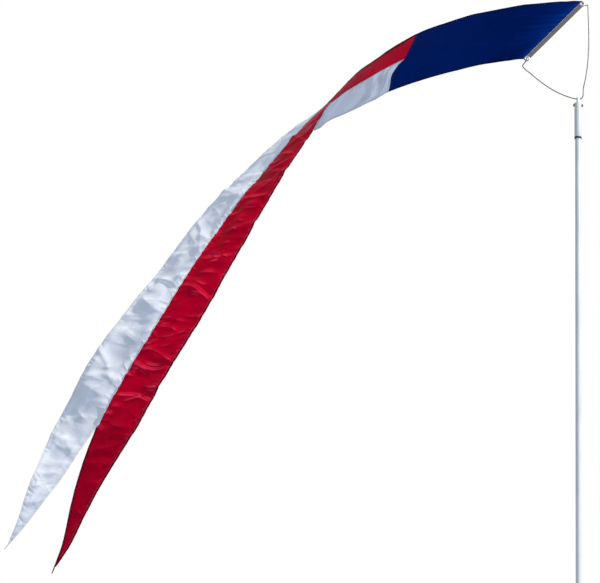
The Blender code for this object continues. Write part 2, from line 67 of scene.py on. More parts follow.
# ------------------------------------------------------------------ places read from the frame
POLE_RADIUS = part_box("lower_pole_tube")[1].x
POLE_WALL = 0.0015
FIT = 0.0003                  # play between two fitted pieces
SLEEVE_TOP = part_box("head_sleeve")[1].z
SLEEVE_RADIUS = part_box("head_sleeve")[1].y
SLEEVE_WALL = 0.0013
STEM_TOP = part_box("wire_stem")[1].z
STEM_RADIUS = 0.0052
EYE_Z = STEM_TOP - 0.0065
EYE_BORE = 0.00215
BUTTON_Z = (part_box("snap_button")[0].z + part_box("snap_button")[1].z) / 2
BUTTON_BORE = 0.0033
BOLT_Z = (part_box("cross_bolt")[0].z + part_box("cross_bolt")[1].z) / 2
BOLT_BORE = 0.0028
BOLT_CREST = 0.0025           # the thread's outer radius
BOLT_ROOT = 0.0021
BOLT_PITCH = 0.0008
ACROSS_FLATS = 0.008
WIRE_RADIUS = 0.00175

# ------------------------------------------------------------------ the heading and its frame
STREAMER_WIDTH = 0.305
STREAMER_LENGTH = 2.740       # hoist to tail tips, laid flat
TAIL_LENGTH = 0.480           # of the split, laid flat
BLUE_LENGTH = 0.540           # of the blue panel, laid flat
GATHER = 0.95                 # share of a flat length that the puckers leave
HEADING_LEAN = 40.8
HEADING_WIDTH = 0.014
HEADING_THICKNESS = 0.0024
HEADING_SEAM = 0.0005
GROMMET_MARGIN = 0.0105
GROMMET_BORE = 0.0046
HOOK_PLAY = 0.0004

LEAN = math.radians(HEADING_LEAN)
ALONG_HEADING = np.array((math.sin(LEAN), 0.0, math.cos(LEAN)))
BEHIND_HEADING = np.array((math.cos(LEAN), 0.0, -math.sin(LEAN)))
HEADING_CENTRE = np.array((-0.0775, 0.0, SLEEVE_TOP + 0.2595))
GROMMET_REACH = STREAMER_WIDTH / 2 - GROMMET_MARGIN
UPPER_GROMMET = HEADING_CENTRE + GROMMET_REACH * ALONG_HEADING
LOWER_GROMMET = HEADING_CENTRE - GROMMET_REACH * ALONG_HEADING

# The streamer's line down its middle from the hoist to the split, as the frame has it: offsets,
# the share of its width that the gathers leave, and each half's turn towards -Y and its lean.
#   x      y       z      share  red turn, lean  white turn, lean
FLIGHT = (
    (0.000, 0.000, 0.000, 1.00, 0, HEADING_LEAN, 0, HEADING_LEAN),
    (-0.015, 0.000, -0.001, 0.99, 1, 41, 1, 41),
    (-0.060, 0.003, -0.005, 0.93, 17, 46, 16, 43),
    (-0.135, 0.008, -0.015, 0.90, 40, 48, 35, 43),
    (-0.250, 0.016, -0.040, 0.89, 57, 43, 43, 38),
    (-0.365, 0.023, -0.073, 0.88, 65, 40, 44, 33),
    (-0.490, 0.030, -0.121, 0.88, 73, 44, 47, 29),
    (-0.565, 0.032, -0.166, 0.88, 74, 51, 50, 30),
    (-0.630, 0.035, -0.212, 0.88, 73, 59, 51, 33),
    (-0.695, 0.037, -0.259, 0.88, 72, 68, 51, 38),
    (-0.722, 0.038, -0.284, 0.88, 71, 73, 50, 38),
    (-0.737, 0.038, -0.298, 0.88, 70, 76, 52, 46),
    (-0.753, 0.038, -0.312, 0.88, 69, 78, 64, 92),
    (-0.808, 0.037, -0.373, 0.88, 64, 86, 62, 104),
    (-0.857, 0.030, -0.441, 0.89, 58, 90, 58, 106),
    (-0.945, 0.015, -0.571, 0.91, 49, 92, 52, 107),
    (-1.053, -0.005, -0.743, 0.93, 37, 94, 47, 108),
    (-1.151, -0.025, -0.921, 0.94, 26, 94, 44, 107),
    (-1.237, -0.036, -1.104, 0.96, 25, 95, 32, 107),
    (-1.325, -0.018, -1.278, 0.98, 28, 95, 26, 107),
    (-1.407, 0.000, -1.455, 1.00, 30, 95, 30, 107),
)
# Each tail's inner edge from the split to the tip: offsets, and its turn and lean.
RED_TAIL = (
    (0.000, 0.000, 0.000, 30, 95),
    (-0.025, 0.012, -0.085, 28, 95),
    (-0.046, 0.024, -0.171, 28, 95),
    (-0.060, 0.036, -0.258, 29, 96),
    (-0.072, 0.048, -0.346, 30, 100),
    (-0.097, 0.060, -0.435, 32, 104),
)
WHITE_TAIL = (
    (0.000, 0.000, 0.000, 30, 107),
    (-0.043, 0.012, -0.074, 22, 107),
    (-0.086, 0.024, -0.148, 12, 107),
    (-0.135, 0.036, -0.220, 6, 108),
    (-0.184, 0.048, -0.293, 16, 110),
    (-0.237, 0.060, -0.361, 36, 112),
)


def linear(code):
    """A linear colour from an sRGB hex value."""
    parts = [int(code[i:i + 2], 16) / 255 for i in (1, 3, 5)]
    return tuple(p / 12.92 if p <= 0.04045 else ((p + 0.055) / 1.055) ** 2.4 for p in parts)


# ------------------------------------------------------------------ what a user would change
def length(name, description, default):
    """A length that can be set, in metres."""
    return FloatProperty(name=name, description=description, default=default, min=0.0, precision=5,
                         unit="LENGTH", subtype="DISTANCE")


def colour(name, description, code):
    """A colour that can be set, from an sRGB hex value."""
    return FloatVectorProperty(name=name, description=description, default=linear(code), size=3,
                               min=0.0, max=1.0, subtype="COLOR")


class ClothSettings(bpy.types.PropertyGroup):
    """Sizes and colours of the cloth"""

    thickness: length("Cloth", "Thickness of the nylon between its hems", 0.0004)
    hem: length("Hem", "Width of the folded hems", 0.009)
    pucker: length("Puckers", "Height of the puckers that the stitching draws in", 0.0026)
    fold: length("Folds", "Height of the folds that run across the stripes", 0.0042)
    seed: IntProperty(name="Seed", description="Which puckers the cloth has", default=7, min=0)
    blue: colour("Blue", "Blue panel", "#00246A")
    red: colour("Red", "Red stripe", "#B90026")
    white: colour("White", "White stripe", "#D8DBE1")


class HardwareSettings(bpy.types.PropertyGroup):
    """Sizes of the sewing and colours of the hardware"""

    stitch: length("Stitch", "Length of one stitch", 0.0045)
    thread: length("Thread", "Radius of the sewing thread", 0.00032)
    enamel: colour("Enamel", "Pole and sleeve", "#D0D2D0")
    wire: colour("Wire", "Spring wire of the bow", "#6B7371")
    webbing: colour("Webbing", "Heading tape", "#5F5654")


# ------------------------------------------------------------------ nodes and materials
def add_node(tree, kind, inputs=None, **settings):
    """Adds a node with its settings, and gives each named input a value or a link."""
    made = tree.nodes.new(kind)
    for key, value in settings.items():
        setattr(made, key, value)
    for key, value in (inputs or {}).items():
        if isinstance(value, bpy.types.NodeSocket):
            tree.links.new(value, made.inputs[key])
        else:
            made.inputs[key].default_value = value
    return made


def surface(name, **inputs):
    """A material with a Principled shader, and the shader's tree."""
    made = bpy.data.materials.new(name)
    made.use_nodes = True
    shader = made.node_tree.nodes["Principled BSDF"]
    for key, value in inputs.items():
        shader.inputs[key.replace("_", " ")].default_value = value
    return made, made.node_tree, shader


def blend_colours(tree, share, first, second):
    """A colour between two, by a share from 0 to 1."""
    mix = add_node(tree, "ShaderNodeMix", {"Factor": share, "A": first, "B": second}, data_type="RGBA")
    return mix.outputs["Result"]


def tinted(rgb, scale):
    """A colour scaled, with no channel above 1, and opaque."""
    return (*(min(1.0, c * scale) for c in rgb), 1.0)


def noise(tree, vector, scale, detail=3.0, rough=0.5):
    """A noise texture's value, from 0 to 1."""
    made = add_node(tree, "ShaderNodeTexNoise",
                    {"Vector": vector, "Scale": scale, "Detail": detail, "Roughness": rough})
    return made.outputs["Fac"]


def scaled(tree, vector, scale):
    """Coordinates scaled by axis."""
    return add_node(tree, "ShaderNodeMapping", {"Vector": vector, "Scale": scale}).outputs["Vector"]


def mapped(tree, value, low, high, to_low=0.0, to_high=1.0):
    """A value stretched from one range to another and held inside it."""
    made = add_node(tree, "ShaderNodeMapRange", {"Value": value, "From Min": low, "From Max": high,
                                                "To Min": to_low, "To Max": to_high})
    return made.outputs["Result"]


def combined(tree, operation, first, second):
    """Two values joined by a sum, a product or the like."""
    return add_node(tree, "ShaderNodeMath", {0: first, 1: second}, operation=operation).outputs["Value"]


def bump(tree, shader, height, distance, strength=1.0):
    """Bump from a height between 0 and 1, which stands for that distance."""
    made = add_node(tree, "ShaderNodeBump", {"Height": height, "Distance": distance, "Strength": strength})
    tree.links.new(made.outputs["Normal"], shader.inputs["Normal"])


def woven_nylon(name, rgb, gloss, shine, lustre, hem_shade, crease_wear_and_highlight, low, high, lit=0.0,
                gathered=False):
    """Calendered nylon taffeta, 70 denier: a close plain weave pressed to a satin shine. Its shine has the
    colour of the dyed threads, which lustre gives. Its hems are two layers of the same cloth, which let
    less light through; a darker tone paints that shade on them. Creases get a paler tone, partly the
    whitening of bent threads and partly a painted highlight on the folds."""
    deepest = max(rgb[:3])
    edge = tuple(0.15 + 0.85 * channel / deepest for channel in rgb[:3])
    made, tree, shader = surface(name, Roughness=gloss, Specular_IOR_Level=shine, Metallic=lustre,
                                 Specular_Tint=(*edge, 1.0))
    cloth = add_node(tree, "ShaderNodeUVMap", uv_map="Cloth").outputs["UV"]
    hem = add_node(tree, "ShaderNodeAttribute", attribute_name="hem").outputs["Fac"]
    uneven = noise(tree, cloth, 9.0, 4.0)
    base = blend_colours(tree, mapped(tree, uneven, 0.3, 0.7), tinted(rgb, low), tinted(rgb, high))
    # Patches of a brighter tone: painted light, standing in for sunlight that shines through the cloth.
    thin = mapped(tree, noise(tree, scaled(tree, cloth, (1, 1.4, 1)), 13.0, 2.0), 0.58, 0.80)
    base = blend_colours(tree, thin, base, tinted(rgb, 1.3))
    if lit:
        # Light that comes through the cloth isn't worked out. Beside the blue panel, where it shows most,
        # a brighter tone stands in for it, and on a gathered stripe only the single folds have it.
        along = add_node(tree, "ShaderNodeSeparateXYZ", {"Vector": cloth}).outputs["X"]
        beside = mapped(tree, along, BLUE + 0.10, BLUE + 0.34, 1.0, 0.0)
        if gathered:
            folds = noise(tree, scaled(tree, cloth, (30, 7, 1)), 1.0, 2.0)
            beside = combined(tree, "MULTIPLY", beside, mapped(tree, folds, 0.44, 0.56))
        base = blend_colours(tree, beside, base, tinted(rgb, lit))
    # Creases are painted paler: partly the whitening of bent threads, partly a painted highlight on the sharp
    # bends of the folds.
    crease = add_node(tree, "ShaderNodeAttribute", attribute_name="crease").outputs["Fac"]
    base = blend_colours(tree, combined(tree, "MULTIPLY", crease, 0.8), base, (*linear(crease_wear_and_highlight), 1.0))
    # Hems get a darker tone: painted shade for the light that the double layer holds back.
    tree.links.new(blend_colours(tree, hem, base, tinted(rgb, hem_shade)), shader.inputs["Base Color"])
    # Threads are 0.25 mm apart, too fine to show, so the weave is drawn at 1 mm.
    warp = add_node(tree, "ShaderNodeTexWave", {"Vector": scaled(tree, cloth, (1000, 0, 0)), "Scale": 0.159},
                    bands_direction="X").outputs["Fac"]
    weft = add_node(tree, "ShaderNodeTexWave", {"Vector": scaled(tree, cloth, (0, 1000, 0)), "Scale": 0.159},
                    bands_direction="Y").outputs["Fac"]
    weave = combined(tree, "MULTIPLY", combined(tree, "ADD", warp, weft), 0.02)
    creases = noise(tree, scaled(tree, cloth, (150, 55, 1)), 1.0, 4.0, 0.55)
    bump(tree, shader, combined(tree, "ADD", creases, weave), 0.0012, 0.6)
    rough = mapped(tree, noise(tree, cloth, 60.0), 0.3, 0.7, gloss - 0.05, gloss + 0.07)
    tree.links.new(rough, shader.inputs["Roughness"])
    return made


def powder_enamel(name, rgb):
    """Polyester powder coat, sprayed and baked: even, half glossy, with a faint orange peel of 2 mm."""
    made, tree, shader = surface(name, Roughness=0.32, IOR=1.5, Coat_Weight=0.15, Coat_Roughness=0.2)
    place = add_node(tree, "ShaderNodeTexCoord").outputs["Object"]
    grime = mapped(tree, noise(tree, scaled(tree, place, (40, 40, 9)), 1.0, 5.0), 0.45, 0.75)
    tone = blend_colours(tree, grime, tinted(rgb, 1.0), tinted(rgb, 0.86))
    tree.links.new(tone, shader.inputs["Base Color"])
    bump(tree, shader, noise(tree, place, 500.0, 2.0), 0.00005, 0.5)
    scuffs = noise(tree, scaled(tree, place, (300, 300, 60)), 1.0, 3.0)
    tree.links.new(mapped(tree, scuffs, 0.35, 0.75, 0.26, 0.42), shader.inputs["Roughness"])
    return made


def drawn_metal(name, rgb, gloss, stretch, grain=0.00002):
    """Metal with the fine lines of drawing or turning: stretch is the pattern's scale on each axis, in
    lines to the metre, lowest along the lines."""
    made, tree, shader = surface(name, Metallic=1.0, Roughness=gloss)
    place = add_node(tree, "ShaderNodeTexCoord").outputs["Object"]
    lines = noise(tree, scaled(tree, place, stretch), 1.0, 4.0)
    patches = noise(tree, place, 180.0, 3.0)
    tone = blend_colours(tree, mapped(tree, patches, 0.35, 0.7), tinted(rgb, 0.88), tinted(rgb, 1.1))
    tree.links.new(tone, shader.inputs["Base Color"])
    tree.links.new(mapped(tree, lines, 0.3, 0.7, gloss - 0.08, gloss + 0.1), shader.inputs["Roughness"])
    bump(tree, shader, lines, grain, 0.5)
    return made


def moulded_plastic(name, rgb, gloss=0.42):
    """Injection moulded nylon: spark-eroded mould texture of 0.3 mm, slightly uneven in tone."""
    made, tree, shader = surface(name, Roughness=gloss, IOR=1.53)
    place = add_node(tree, "ShaderNodeTexCoord").outputs["Object"]
    tone = blend_colours(tree, noise(tree, place, 120.0), tinted(rgb, 0.94), tinted(rgb, 1.04))
    tree.links.new(tone, shader.inputs["Base Color"])
    tree.links.new(mapped(tree, noise(tree, place, 900.0), 0.3, 0.7, gloss - 0.05, gloss + 0.08),
                   shader.inputs["Roughness"])
    bump(tree, shader, noise(tree, place, 3300.0, 2.0), 0.00004, 0.6)
    return made


def rubber(name, rgb):
    """Dipped vinyl rubber: dull, with a bloom of dust and a soft grain of 1 mm."""
    made, tree, shader = surface(name, Roughness=0.7, IOR=1.52)
    place = add_node(tree, "ShaderNodeTexCoord").outputs["Object"]
    bloom = mapped(tree, noise(tree, place, 160.0, 5.0), 0.45, 0.8)
    tone = blend_colours(tree, bloom, tinted(rgb, 1.0), tinted(rgb, 2.2))
    tree.links.new(tone, shader.inputs["Base Color"])
    tree.links.new(mapped(tree, bloom, 0.0, 1.0, 0.6, 0.85), shader.inputs["Roughness"])
    bump(tree, shader, noise(tree, place, 1000.0, 3.0), 0.00008, 0.6)
    return made


def woven_webbing(name, rgb):
    """Polyester webbing, woven in a fine rib: ribs 1.2 mm apart run across the tape."""
    made, tree, shader = surface(name, Roughness=0.75, Sheen_Weight=0.2, Sheen_Roughness=0.5, IOR=1.5)
    tape = add_node(tree, "ShaderNodeUVMap", uv_map="Cloth").outputs["UV"]
    ribs = add_node(tree, "ShaderNodeTexWave", {"Vector": scaled(tree, tape, (833, 0, 0)), "Scale": 0.159,
                                                "Distortion": 0.0}, bands_direction="X").outputs["Fac"]
    fuzz = noise(tree, tape, 900.0, 3.0)
    height = combined(tree, "ADD", ribs, combined(tree, "MULTIPLY", fuzz, 0.5))
    # The tone follows the rib height: darker in the hollows between the ribs, a painted shade, with the
    # fuzz's random tone on top.
    tone = blend_colours(tree, mapped(tree, height, 0.2, 1.3), tinted(rgb, 0.72), tinted(rgb, 1.15))
    tree.links.new(tone, shader.inputs["Base Color"])
    tree.links.new(mapped(tree, fuzz, 0.3, 0.7, 0.68, 0.85), shader.inputs["Roughness"])
    bump(tree, shader, height, 0.00025, 0.8)
    return made


def spun_thread(name, rgb):
    """Bonded polyester thread: a tight twist, with plies 0.6 mm apart."""
    made, tree, shader = surface(name, Roughness=0.55, Sheen_Weight=0.2, IOR=1.5)
    place = add_node(tree, "ShaderNodeTexCoord").outputs["Object"]
    plies = add_node(tree, "ShaderNodeTexWave", {"Vector": place, "Scale": 260.0, "Distortion": 1.0},
                     bands_direction="DIAGONAL").outputs["Fac"]
    # The tone follows the plies: darker in the grooves between them, a painted shade.
    tone = blend_colours(tree, plies, tinted(rgb, 0.75), tinted(rgb, 1.05))
    tree.links.new(tone, shader.inputs["Base Color"])
    tree.links.new(mapped(tree, plies, 0.0, 1.0, 0.62, 0.45), shader.inputs["Roughness"])
    bump(tree, shader, plies, 0.00006, 0.7)
    return made


_made = {}                    # each finish by its name, once it is made


def finish(name):
    """A finish by its common name, made once."""
    cloth = bpy.context.scene.streamer_cloth
    hardware = bpy.context.scene.streamer_hardware
    recipes = {
        "navy_taffeta": lambda n: woven_nylon(
            n, cloth.blue, gloss=0.46, shine=0.02, lustre=0.20, hem_shade=0.55, crease_wear_and_highlight="#06388F",
            low=0.92, high=1.08),
        "red_taffeta": lambda n: woven_nylon(
            n, cloth.red, gloss=0.36, shine=0.04, lustre=0.30, hem_shade=0.45, crease_wear_and_highlight="#F4365A",
            low=0.80, high=1.12, lit=1.6),
        "white_taffeta": lambda n: woven_nylon(
            n, cloth.white, gloss=0.34, shine=0.50, lustre=0.0, hem_shade=0.93, crease_wear_and_highlight="#FAFBFD",
            low=0.90, high=1.06, lit=1.38, gathered=True),
        "powder_coated_aluminium": lambda n: powder_enamel(n, hardware.enamel),
        "drawn_aluminium": lambda n: drawn_metal(n, linear("#C9CBCD"), 0.34, (2500, 2500, 60)),
        "galvanised_spring_wire": lambda n: drawn_metal(n, hardware.wire, 0.42, (1500, 1500, 1500)),
        "zinc_plated_steel": lambda n: drawn_metal(n, linear("#6E7276"), 0.38, (900, 900, 900)),
        "stainless_steel": lambda n: drawn_metal(n, linear("#A9ACB0"), 0.30, (2000, 2000, 2000)),
        "nickel_plated_brass": lambda n: drawn_metal(n, linear("#D8D5CF"), 0.22, (1200, 1200, 1200)),
        "moulded_nylon": lambda n: moulded_plastic(n, linear("#DFE3E6")),
        "dipped_rubber": lambda n: rubber(n, linear("#2A2B2D")),
        "rib_webbing": lambda n: woven_webbing(n, hardware.webbing),
        "white_thread": lambda n: spun_thread(n, linear("#E6E8EC")),
        # Pale pink hem thread: real stitching, whose pale tone also stands in for a painted highlight along
        # the red hem.
        "pink_thread_for_hem_glint": lambda n: spun_thread(n, linear("#B8506A")),
        "red_thread": lambda n: spun_thread(n, linear("#5E0A1B")),
        "navy_thread": lambda n: spun_thread(n, linear("#0B1B55")),
    }
    if name not in _made:
        _made[name] = recipes[name](name)
    return _made[name]


# ------------------------------------------------------------------ meshes from numpy grids
def grid_faces(rows, columns, wrap_rows=False, wrap_columns=False, start=0):
    """Quads between neighbours on a grid of points, numbered row by row."""
    i = np.arange(rows if wrap_rows else rows - 1)
    j = np.arange(columns if wrap_columns else columns - 1)
    i, j = (a.ravel() for a in np.meshgrid(i, j, indexing="ij"))
    k = (i + 1) % rows
    m = (j + 1) % columns
    return start + np.stack([i * columns + j, i * columns + m, k * columns + m, k * columns + j], axis=1)


def make_piece(name, points, faces, material_name, uv=None, marks=None, sharp=35, tidy=True):
    """A mesh object at the origin. tidy closes poles and seams and turns every face outwards."""
    mesh = bpy.data.meshes.new(name)
    mesh.from_pydata(np.asarray(points).reshape(-1, 3).tolist(), [], np.asarray(faces).tolist())
    if uv is not None:
        corners = np.empty(len(mesh.loops), np.int32)
        mesh.loops.foreach_get("vertex_index", corners)
        layer = mesh.uv_layers.new(name="Cloth")
        layer.data.foreach_set("uv", np.asarray(uv).reshape(-1, 2)[corners].astype(np.float32).ravel())
    for key, values in (marks or {}).items():
        attribute = mesh.attributes.new(key, "FLOAT", "POINT")
        attribute.data.foreach_set("value", np.asarray(values).ravel().astype(np.float32))
    if tidy:
        work = bmesh.new()
        work.from_mesh(mesh)
        bmesh.ops.remove_doubles(work, verts=work.verts, dist=1e-6)
        bmesh.ops.dissolve_degenerate(work, edges=work.edges, dist=1e-7)
        bmesh.ops.recalc_face_normals(work, faces=work.faces)
        work.to_mesh(mesh)
        work.free()
    mesh.shade_smooth()
    if sharp:
        mesh.set_sharp_from_angle(angle=math.radians(sharp))
    mesh.materials.append(finish(material_name))
    made = bpy.data.objects.new(name, mesh)
    bpy.context.scene.collection.objects.link(made)
    return made


def stand_for(piece, body, slot, *nodes):
    """Rides a piece on its body, and lets it stand for CAD nodes."""
    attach(piece, body)
    if nodes:
        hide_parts(*nodes)
    return piece


def rounded(profile, radius, steps=4, closed=True):
    """A profile of (r, z) points with each corner off the axis rounded by an arc of about that radius."""
    points = np.asarray(profile, float)
    made = []
    count = len(points)
    for i, corner in enumerate(points):
        before = points[i - 1] - corner
        after = points[(i + 1) % count] - corner
        ends = not closed and i in (0, count - 1)
        reach = min(radius, 0.45 * np.linalg.norm(before), 0.45 * np.linalg.norm(after))
        if ends or corner[0] < 1e-9 or reach < 1e-7:
            made.append(corner)
            continue
        a = corner + before / np.linalg.norm(before) * reach
        b = corner + after / np.linalg.norm(after) * reach
        t = np.linspace(0, 1, steps + 1)[:, None]
        made.extend((1 - t) ** 2 * a + 2 * t * (1 - t) * corner + t**2 * b)
    return np.array(made)


def turned(name, profile, material_name, frame_matrix=None, steps=64, closed=True, sharp=35):
    """A profile turned about Z: x = r cos a, y = r sin a, z = z, then placed by a matrix."""
    profile = np.asarray(profile, float)
    angle = np.linspace(0, 2 * math.pi, steps, endpoint=False)
    points = np.stack([profile[:, :1] * np.cos(angle), profile[:, :1] * np.sin(angle),
                       np.repeat(profile[:, 1:], steps, axis=1)], axis=-1)
    points = moved(points.reshape(-1, 3), frame_matrix)
    faces = grid_faces(len(profile), steps, wrap_rows=closed, wrap_columns=True)
    return make_piece(name, points, faces, material_name, sharp=sharp)


def moved(points, matrix):
    """Points placed by a matrix, or as they are without one."""
    if matrix is None:
        return points
    matrix = np.array(matrix)
    return points @ matrix[:3, :3].T + matrix[:3, 3]


def facing(point, toward):
    """A frame at point whose Z axis runs toward a direction."""
    turn = Vector(toward).to_track_quat("Z", "Y").to_matrix().to_4x4()
    return Matrix.Translation(Vector(point)) @ turn


def bored(piece, start, end, radius):
    """Cuts a round hole through a piece between two points, and keeps its materials."""
    start = Vector(start)
    end = Vector(end)
    reach = (end - start).length
    cutter = turned("cutter", [(0, reach), (radius, reach), (radius, 0), (0, 0)], "stainless_steel",
                    facing(start, end - start), steps=48, closed=False)
    step = piece.modifiers.new("Bore", "BOOLEAN")
    step.operation = "DIFFERENCE"
    step.object = cutter
    step.solver = "EXACT"
    bpy.context.view_layer.update()
    evaluated = piece.evaluated_get(bpy.context.evaluated_depsgraph_get())
    mesh = bpy.data.meshes.new_from_object(evaluated)
    piece.modifiers.clear()
    old = piece.data
    piece.data = mesh
    bpy.data.meshes.remove(old)
    bpy.data.objects.remove(cutter)
    mesh.shade_smooth()
    mesh.set_sharp_from_angle(angle=math.radians(35))
    return piece


def smooth_path(rows, count):
    """Rows read at even distances from a cubic through them, all columns at once.

    The first three columns are the place, and distance is measured on them.
    """
    rows = np.asarray(rows, float)
    knots = np.r_[0, np.cumsum(np.linalg.norm(np.diff(rows[:, :3], axis=0), axis=1))]
    slopes = np.gradient(rows, knots, axis=0)
    dense = np.linspace(0, knots[-1], 40 * len(rows))
    seg = np.clip(np.searchsorted(knots, dense, "right") - 1, 0, len(rows) - 2)
    width = (knots[seg + 1] - knots[seg])[:, None]
    t = ((dense - knots[seg]) / width[:, 0])[:, None]
    curve = ((2 * t**3 - 3 * t**2 + 1) * rows[seg] + (t**3 - 2 * t**2 + t) * width * slopes[seg]
             + (3 * t**2 - 2 * t**3) * rows[seg + 1] + (t**3 - t**2) * width * slopes[seg + 1])
    run = np.r_[0, np.cumsum(np.linalg.norm(np.diff(curve[:, :3], axis=0), axis=1))]
    even = np.linspace(0, run[-1], count)
    return np.stack([np.interp(even, run, column) for column in curve.T], axis=1), run[-1]


def stretched(rows, total):
    """Rows whose places are scaled about the first one until the path is that long."""
    rows = np.array(rows, float)
    rows[:, :3] *= total / smooth_path(rows, 2)[1]
    return rows


def unit(vectors):
    return vectors / np.maximum(np.linalg.norm(vectors, axis=-1, keepdims=True), 1e-12)


def swept(path, radius, sides):
    """Rings of points round a path: centre + radius (cos a · n + sin a · b).

    n starts from any normal and is turned back by the running sum of its own twist, so that the
    rings don't spin along the path. Every step is on whole arrays.
    """
    tangent = unit(np.gradient(path, axis=0))
    normal = unit(np.cross(tangent, (0.31, 0.83, 0.46)))
    side = np.cross(tangent, normal)
    twist = np.arctan2((normal[:-1] * side[1:]).sum(1), (normal[:-1] * normal[1:]).sum(1))
    back = np.r_[0, np.cumsum(twist)][:, None]
    steady = np.cos(back) * normal + np.sin(back) * side
    other = np.cross(tangent, steady)
    angle = np.linspace(0, 2 * math.pi, sides, endpoint=False)[None, :, None]
    radius = np.broadcast_to(np.asarray(radius, float), (len(path),))[:, None, None]
    return path[:, None] + radius * (np.cos(angle) * steady[:, None] + np.sin(angle) * other[:, None])


def capped(rings):
    """Rings with their two ends closed by a dome to a point on the axis."""
    first = rings[0].mean(0)
    last = rings[-1].mean(0)
    out_first = unit(first - rings[1].mean(0)) * np.linalg.norm(rings[0, 0] - first) * 0.5
    out_last = unit(last - rings[-2].mean(0)) * np.linalg.norm(rings[-1, 0] - last) * 0.5
    start = [np.broadcast_to(first + out_first, rings[0].shape),
             (rings[0] - first) * 0.72 + first + out_first * 0.7]
    end = [(rings[-1] - last) * 0.72 + last + out_last * 0.7,
           np.broadcast_to(last + out_last, rings[0].shape)]
    return np.concatenate([np.stack(start), rings, np.stack(end)])


def outward(turn, lean):
    """Unit directions for a turn towards -Y and a lean from upright, both in degrees."""
    turn = np.radians(turn)
    lean = np.radians(lean)
    return np.stack([np.cos(turn) * np.sin(lean), -np.sin(turn), np.cos(turn) * np.cos(lean)], axis=-1)


# ------------------------------------------------------------------ pole
def make_tube(name, node, radius, wall, body, slot, material_name, edge=0.0004):
    """A tube as high as its node, with its edges broken by a small arc."""
    low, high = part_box(node)
    profile = [(radius, high.z), (radius, low.z), (radius - wall, low.z), (radius - wall, high.z)]
    return stand_for(turned(name, rounded(profile, edge), material_name), body, slot, node)


class WINDSTREAMER_OT_pole(bpy.types.Operator):
    """Makes the two pole tubes, the cap under them and the ring under the sleeve"""

    bl_idname = "windstreamer.pole"
    bl_label = "Pole"

    def execute(self, context):
        make_tube("lower_tube", "lower_pole_tube", POLE_RADIUS, POLE_WALL, "pole", "white_enamel",
                  "powder_coated_aluminium")
        upper = make_tube("upper_tube", "upper_pole_tube", POLE_RADIUS, POLE_WALL, "pole", "white_enamel",
                          "powder_coated_aluminium")
        bored(upper, (0, -2 * POLE_RADIUS, BUTTON_Z), (0, 0, BUTTON_Z), BUTTON_BORE)
        self.cap()
        low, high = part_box("stop_ring")
        bore = POLE_RADIUS + FIT
        ring = [(high.x, high.z), (high.x, low.z), (bore, low.z), (bore, high.z)]
        stand_for(turned("sleeve_stop", rounded(ring, 0.0012, 6), "dipped_rubber"), "pole", "black_rubber",
                  "stop_ring")
        for node, name in (("joint_ferrule", "drawn_aluminium"), ("pole_top_plug", "moulded_nylon"),
                           ("thrust_washer", "stainless_steel")):
            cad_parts[node].data.materials.clear()
            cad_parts[node].data.materials.append(finish(name))
        for side, name in ((-1, "left"), (1, "right")):
            self.rivet(side, name)
        return {"FINISHED"}

    def cap(self):
        """A dipped cap: a foot, three grip grooves and a lip that grips the tube."""
        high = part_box("butt_cap")[1]
        radius = high.x
        top = high.z
        bore = POLE_RADIUS + FIT
        groove = 0.0006
        outer = [(radius, top), (radius, top - 0.006)]
        for z in (0.024, 0.019, 0.014):
            outer += [(radius, z + 0.0012), (radius - groove, z + 0.0006), (radius - groove, z - 0.0006),
                      (radius, z - 0.0012)]
        outer += [(radius, 0.0), (0, 0.0), (0, 0.0037), (bore, 0.0037), (bore, top)]
        cap = turned("foot_cap", rounded(outer, 0.0008, 3), "dipped_rubber", closed=True)
        stand_for(cap, "pole", "black_rubber", "butt_cap")

    def rivet(self, side, name):
        """A blind rivet: a domed flange with the dimple of its broken mandrel."""
        low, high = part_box("ferrule_rivet_" + name)
        height = (low.z + high.z) / 2
        face = POLE_RADIUS + FIT
        radius = (high.z - low.z) / 2
        tip = max(abs(low.x), abs(high.x)) - face
        inner = min(abs(low.x), abs(high.x)) - face
        profile = [(0, tip - 0.0005), (0.0008, tip - 0.0004), (0.0010, tip), (radius * 0.6, tip * 0.85),
                   (radius, tip * 0.2), (radius, 0), (0.0016, 0), (0.0016, inner), (0, inner)]
        rivet = turned("rivet_" + name, rounded(profile, 0.0003, 3, closed=False), "drawn_aluminium",
                       facing((side * face, 0, height), (side, 0, 0)), steps=40, closed=False)
        stand_for(rivet, "pole", "bright_steel", "ferrule_rivet_" + name)


class WINDSTREAMER_OT_button(bpy.types.Operator):
    """Makes the snap button that locks the two pole sections"""

    bl_idname = "windstreamer.button"
    bl_label = "Snap Button"

    def execute(self, context):
        low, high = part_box("snap_button")
        radius = 0.003
        foot = (high.z - low.z) / 2
        tip = -low.y
        inner = -high.y
        shoulder = inner + 0.0012
        arc = np.radians(np.linspace(90, 0, 10))
        dome = np.stack([radius * np.cos(arc), tip - radius * 0.6 * (1 - np.sin(arc))], axis=1)
        profile = [*dome, (radius, shoulder), (foot, shoulder), (foot, inner), (0, inner)]
        place = facing((0, 0, BUTTON_Z), (0, -1, 0))
        pin = turned("button_pin", profile, "stainless_steel", place, steps=48, closed=False)
        stand_for(pin, "button", "bright_steel", "snap_button")
        self.spring()
        return {"FINISHED"}

    def spring(self):
        """A hairpin leaf behind the button: a merged copy of the frame's."""
        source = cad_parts["button_spring"].data
        points = np.empty(3 * len(source.vertices), np.float32)
        source.vertices.foreach_get("co", points)
        faces = [tuple(face.vertices) for face in source.polygons]
        leaf = make_piece("leaf_spring", points, faces, "stainless_steel", sharp=30)
        stand_for(leaf, "pole", "bright_steel", "button_spring")
        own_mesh(leaf)


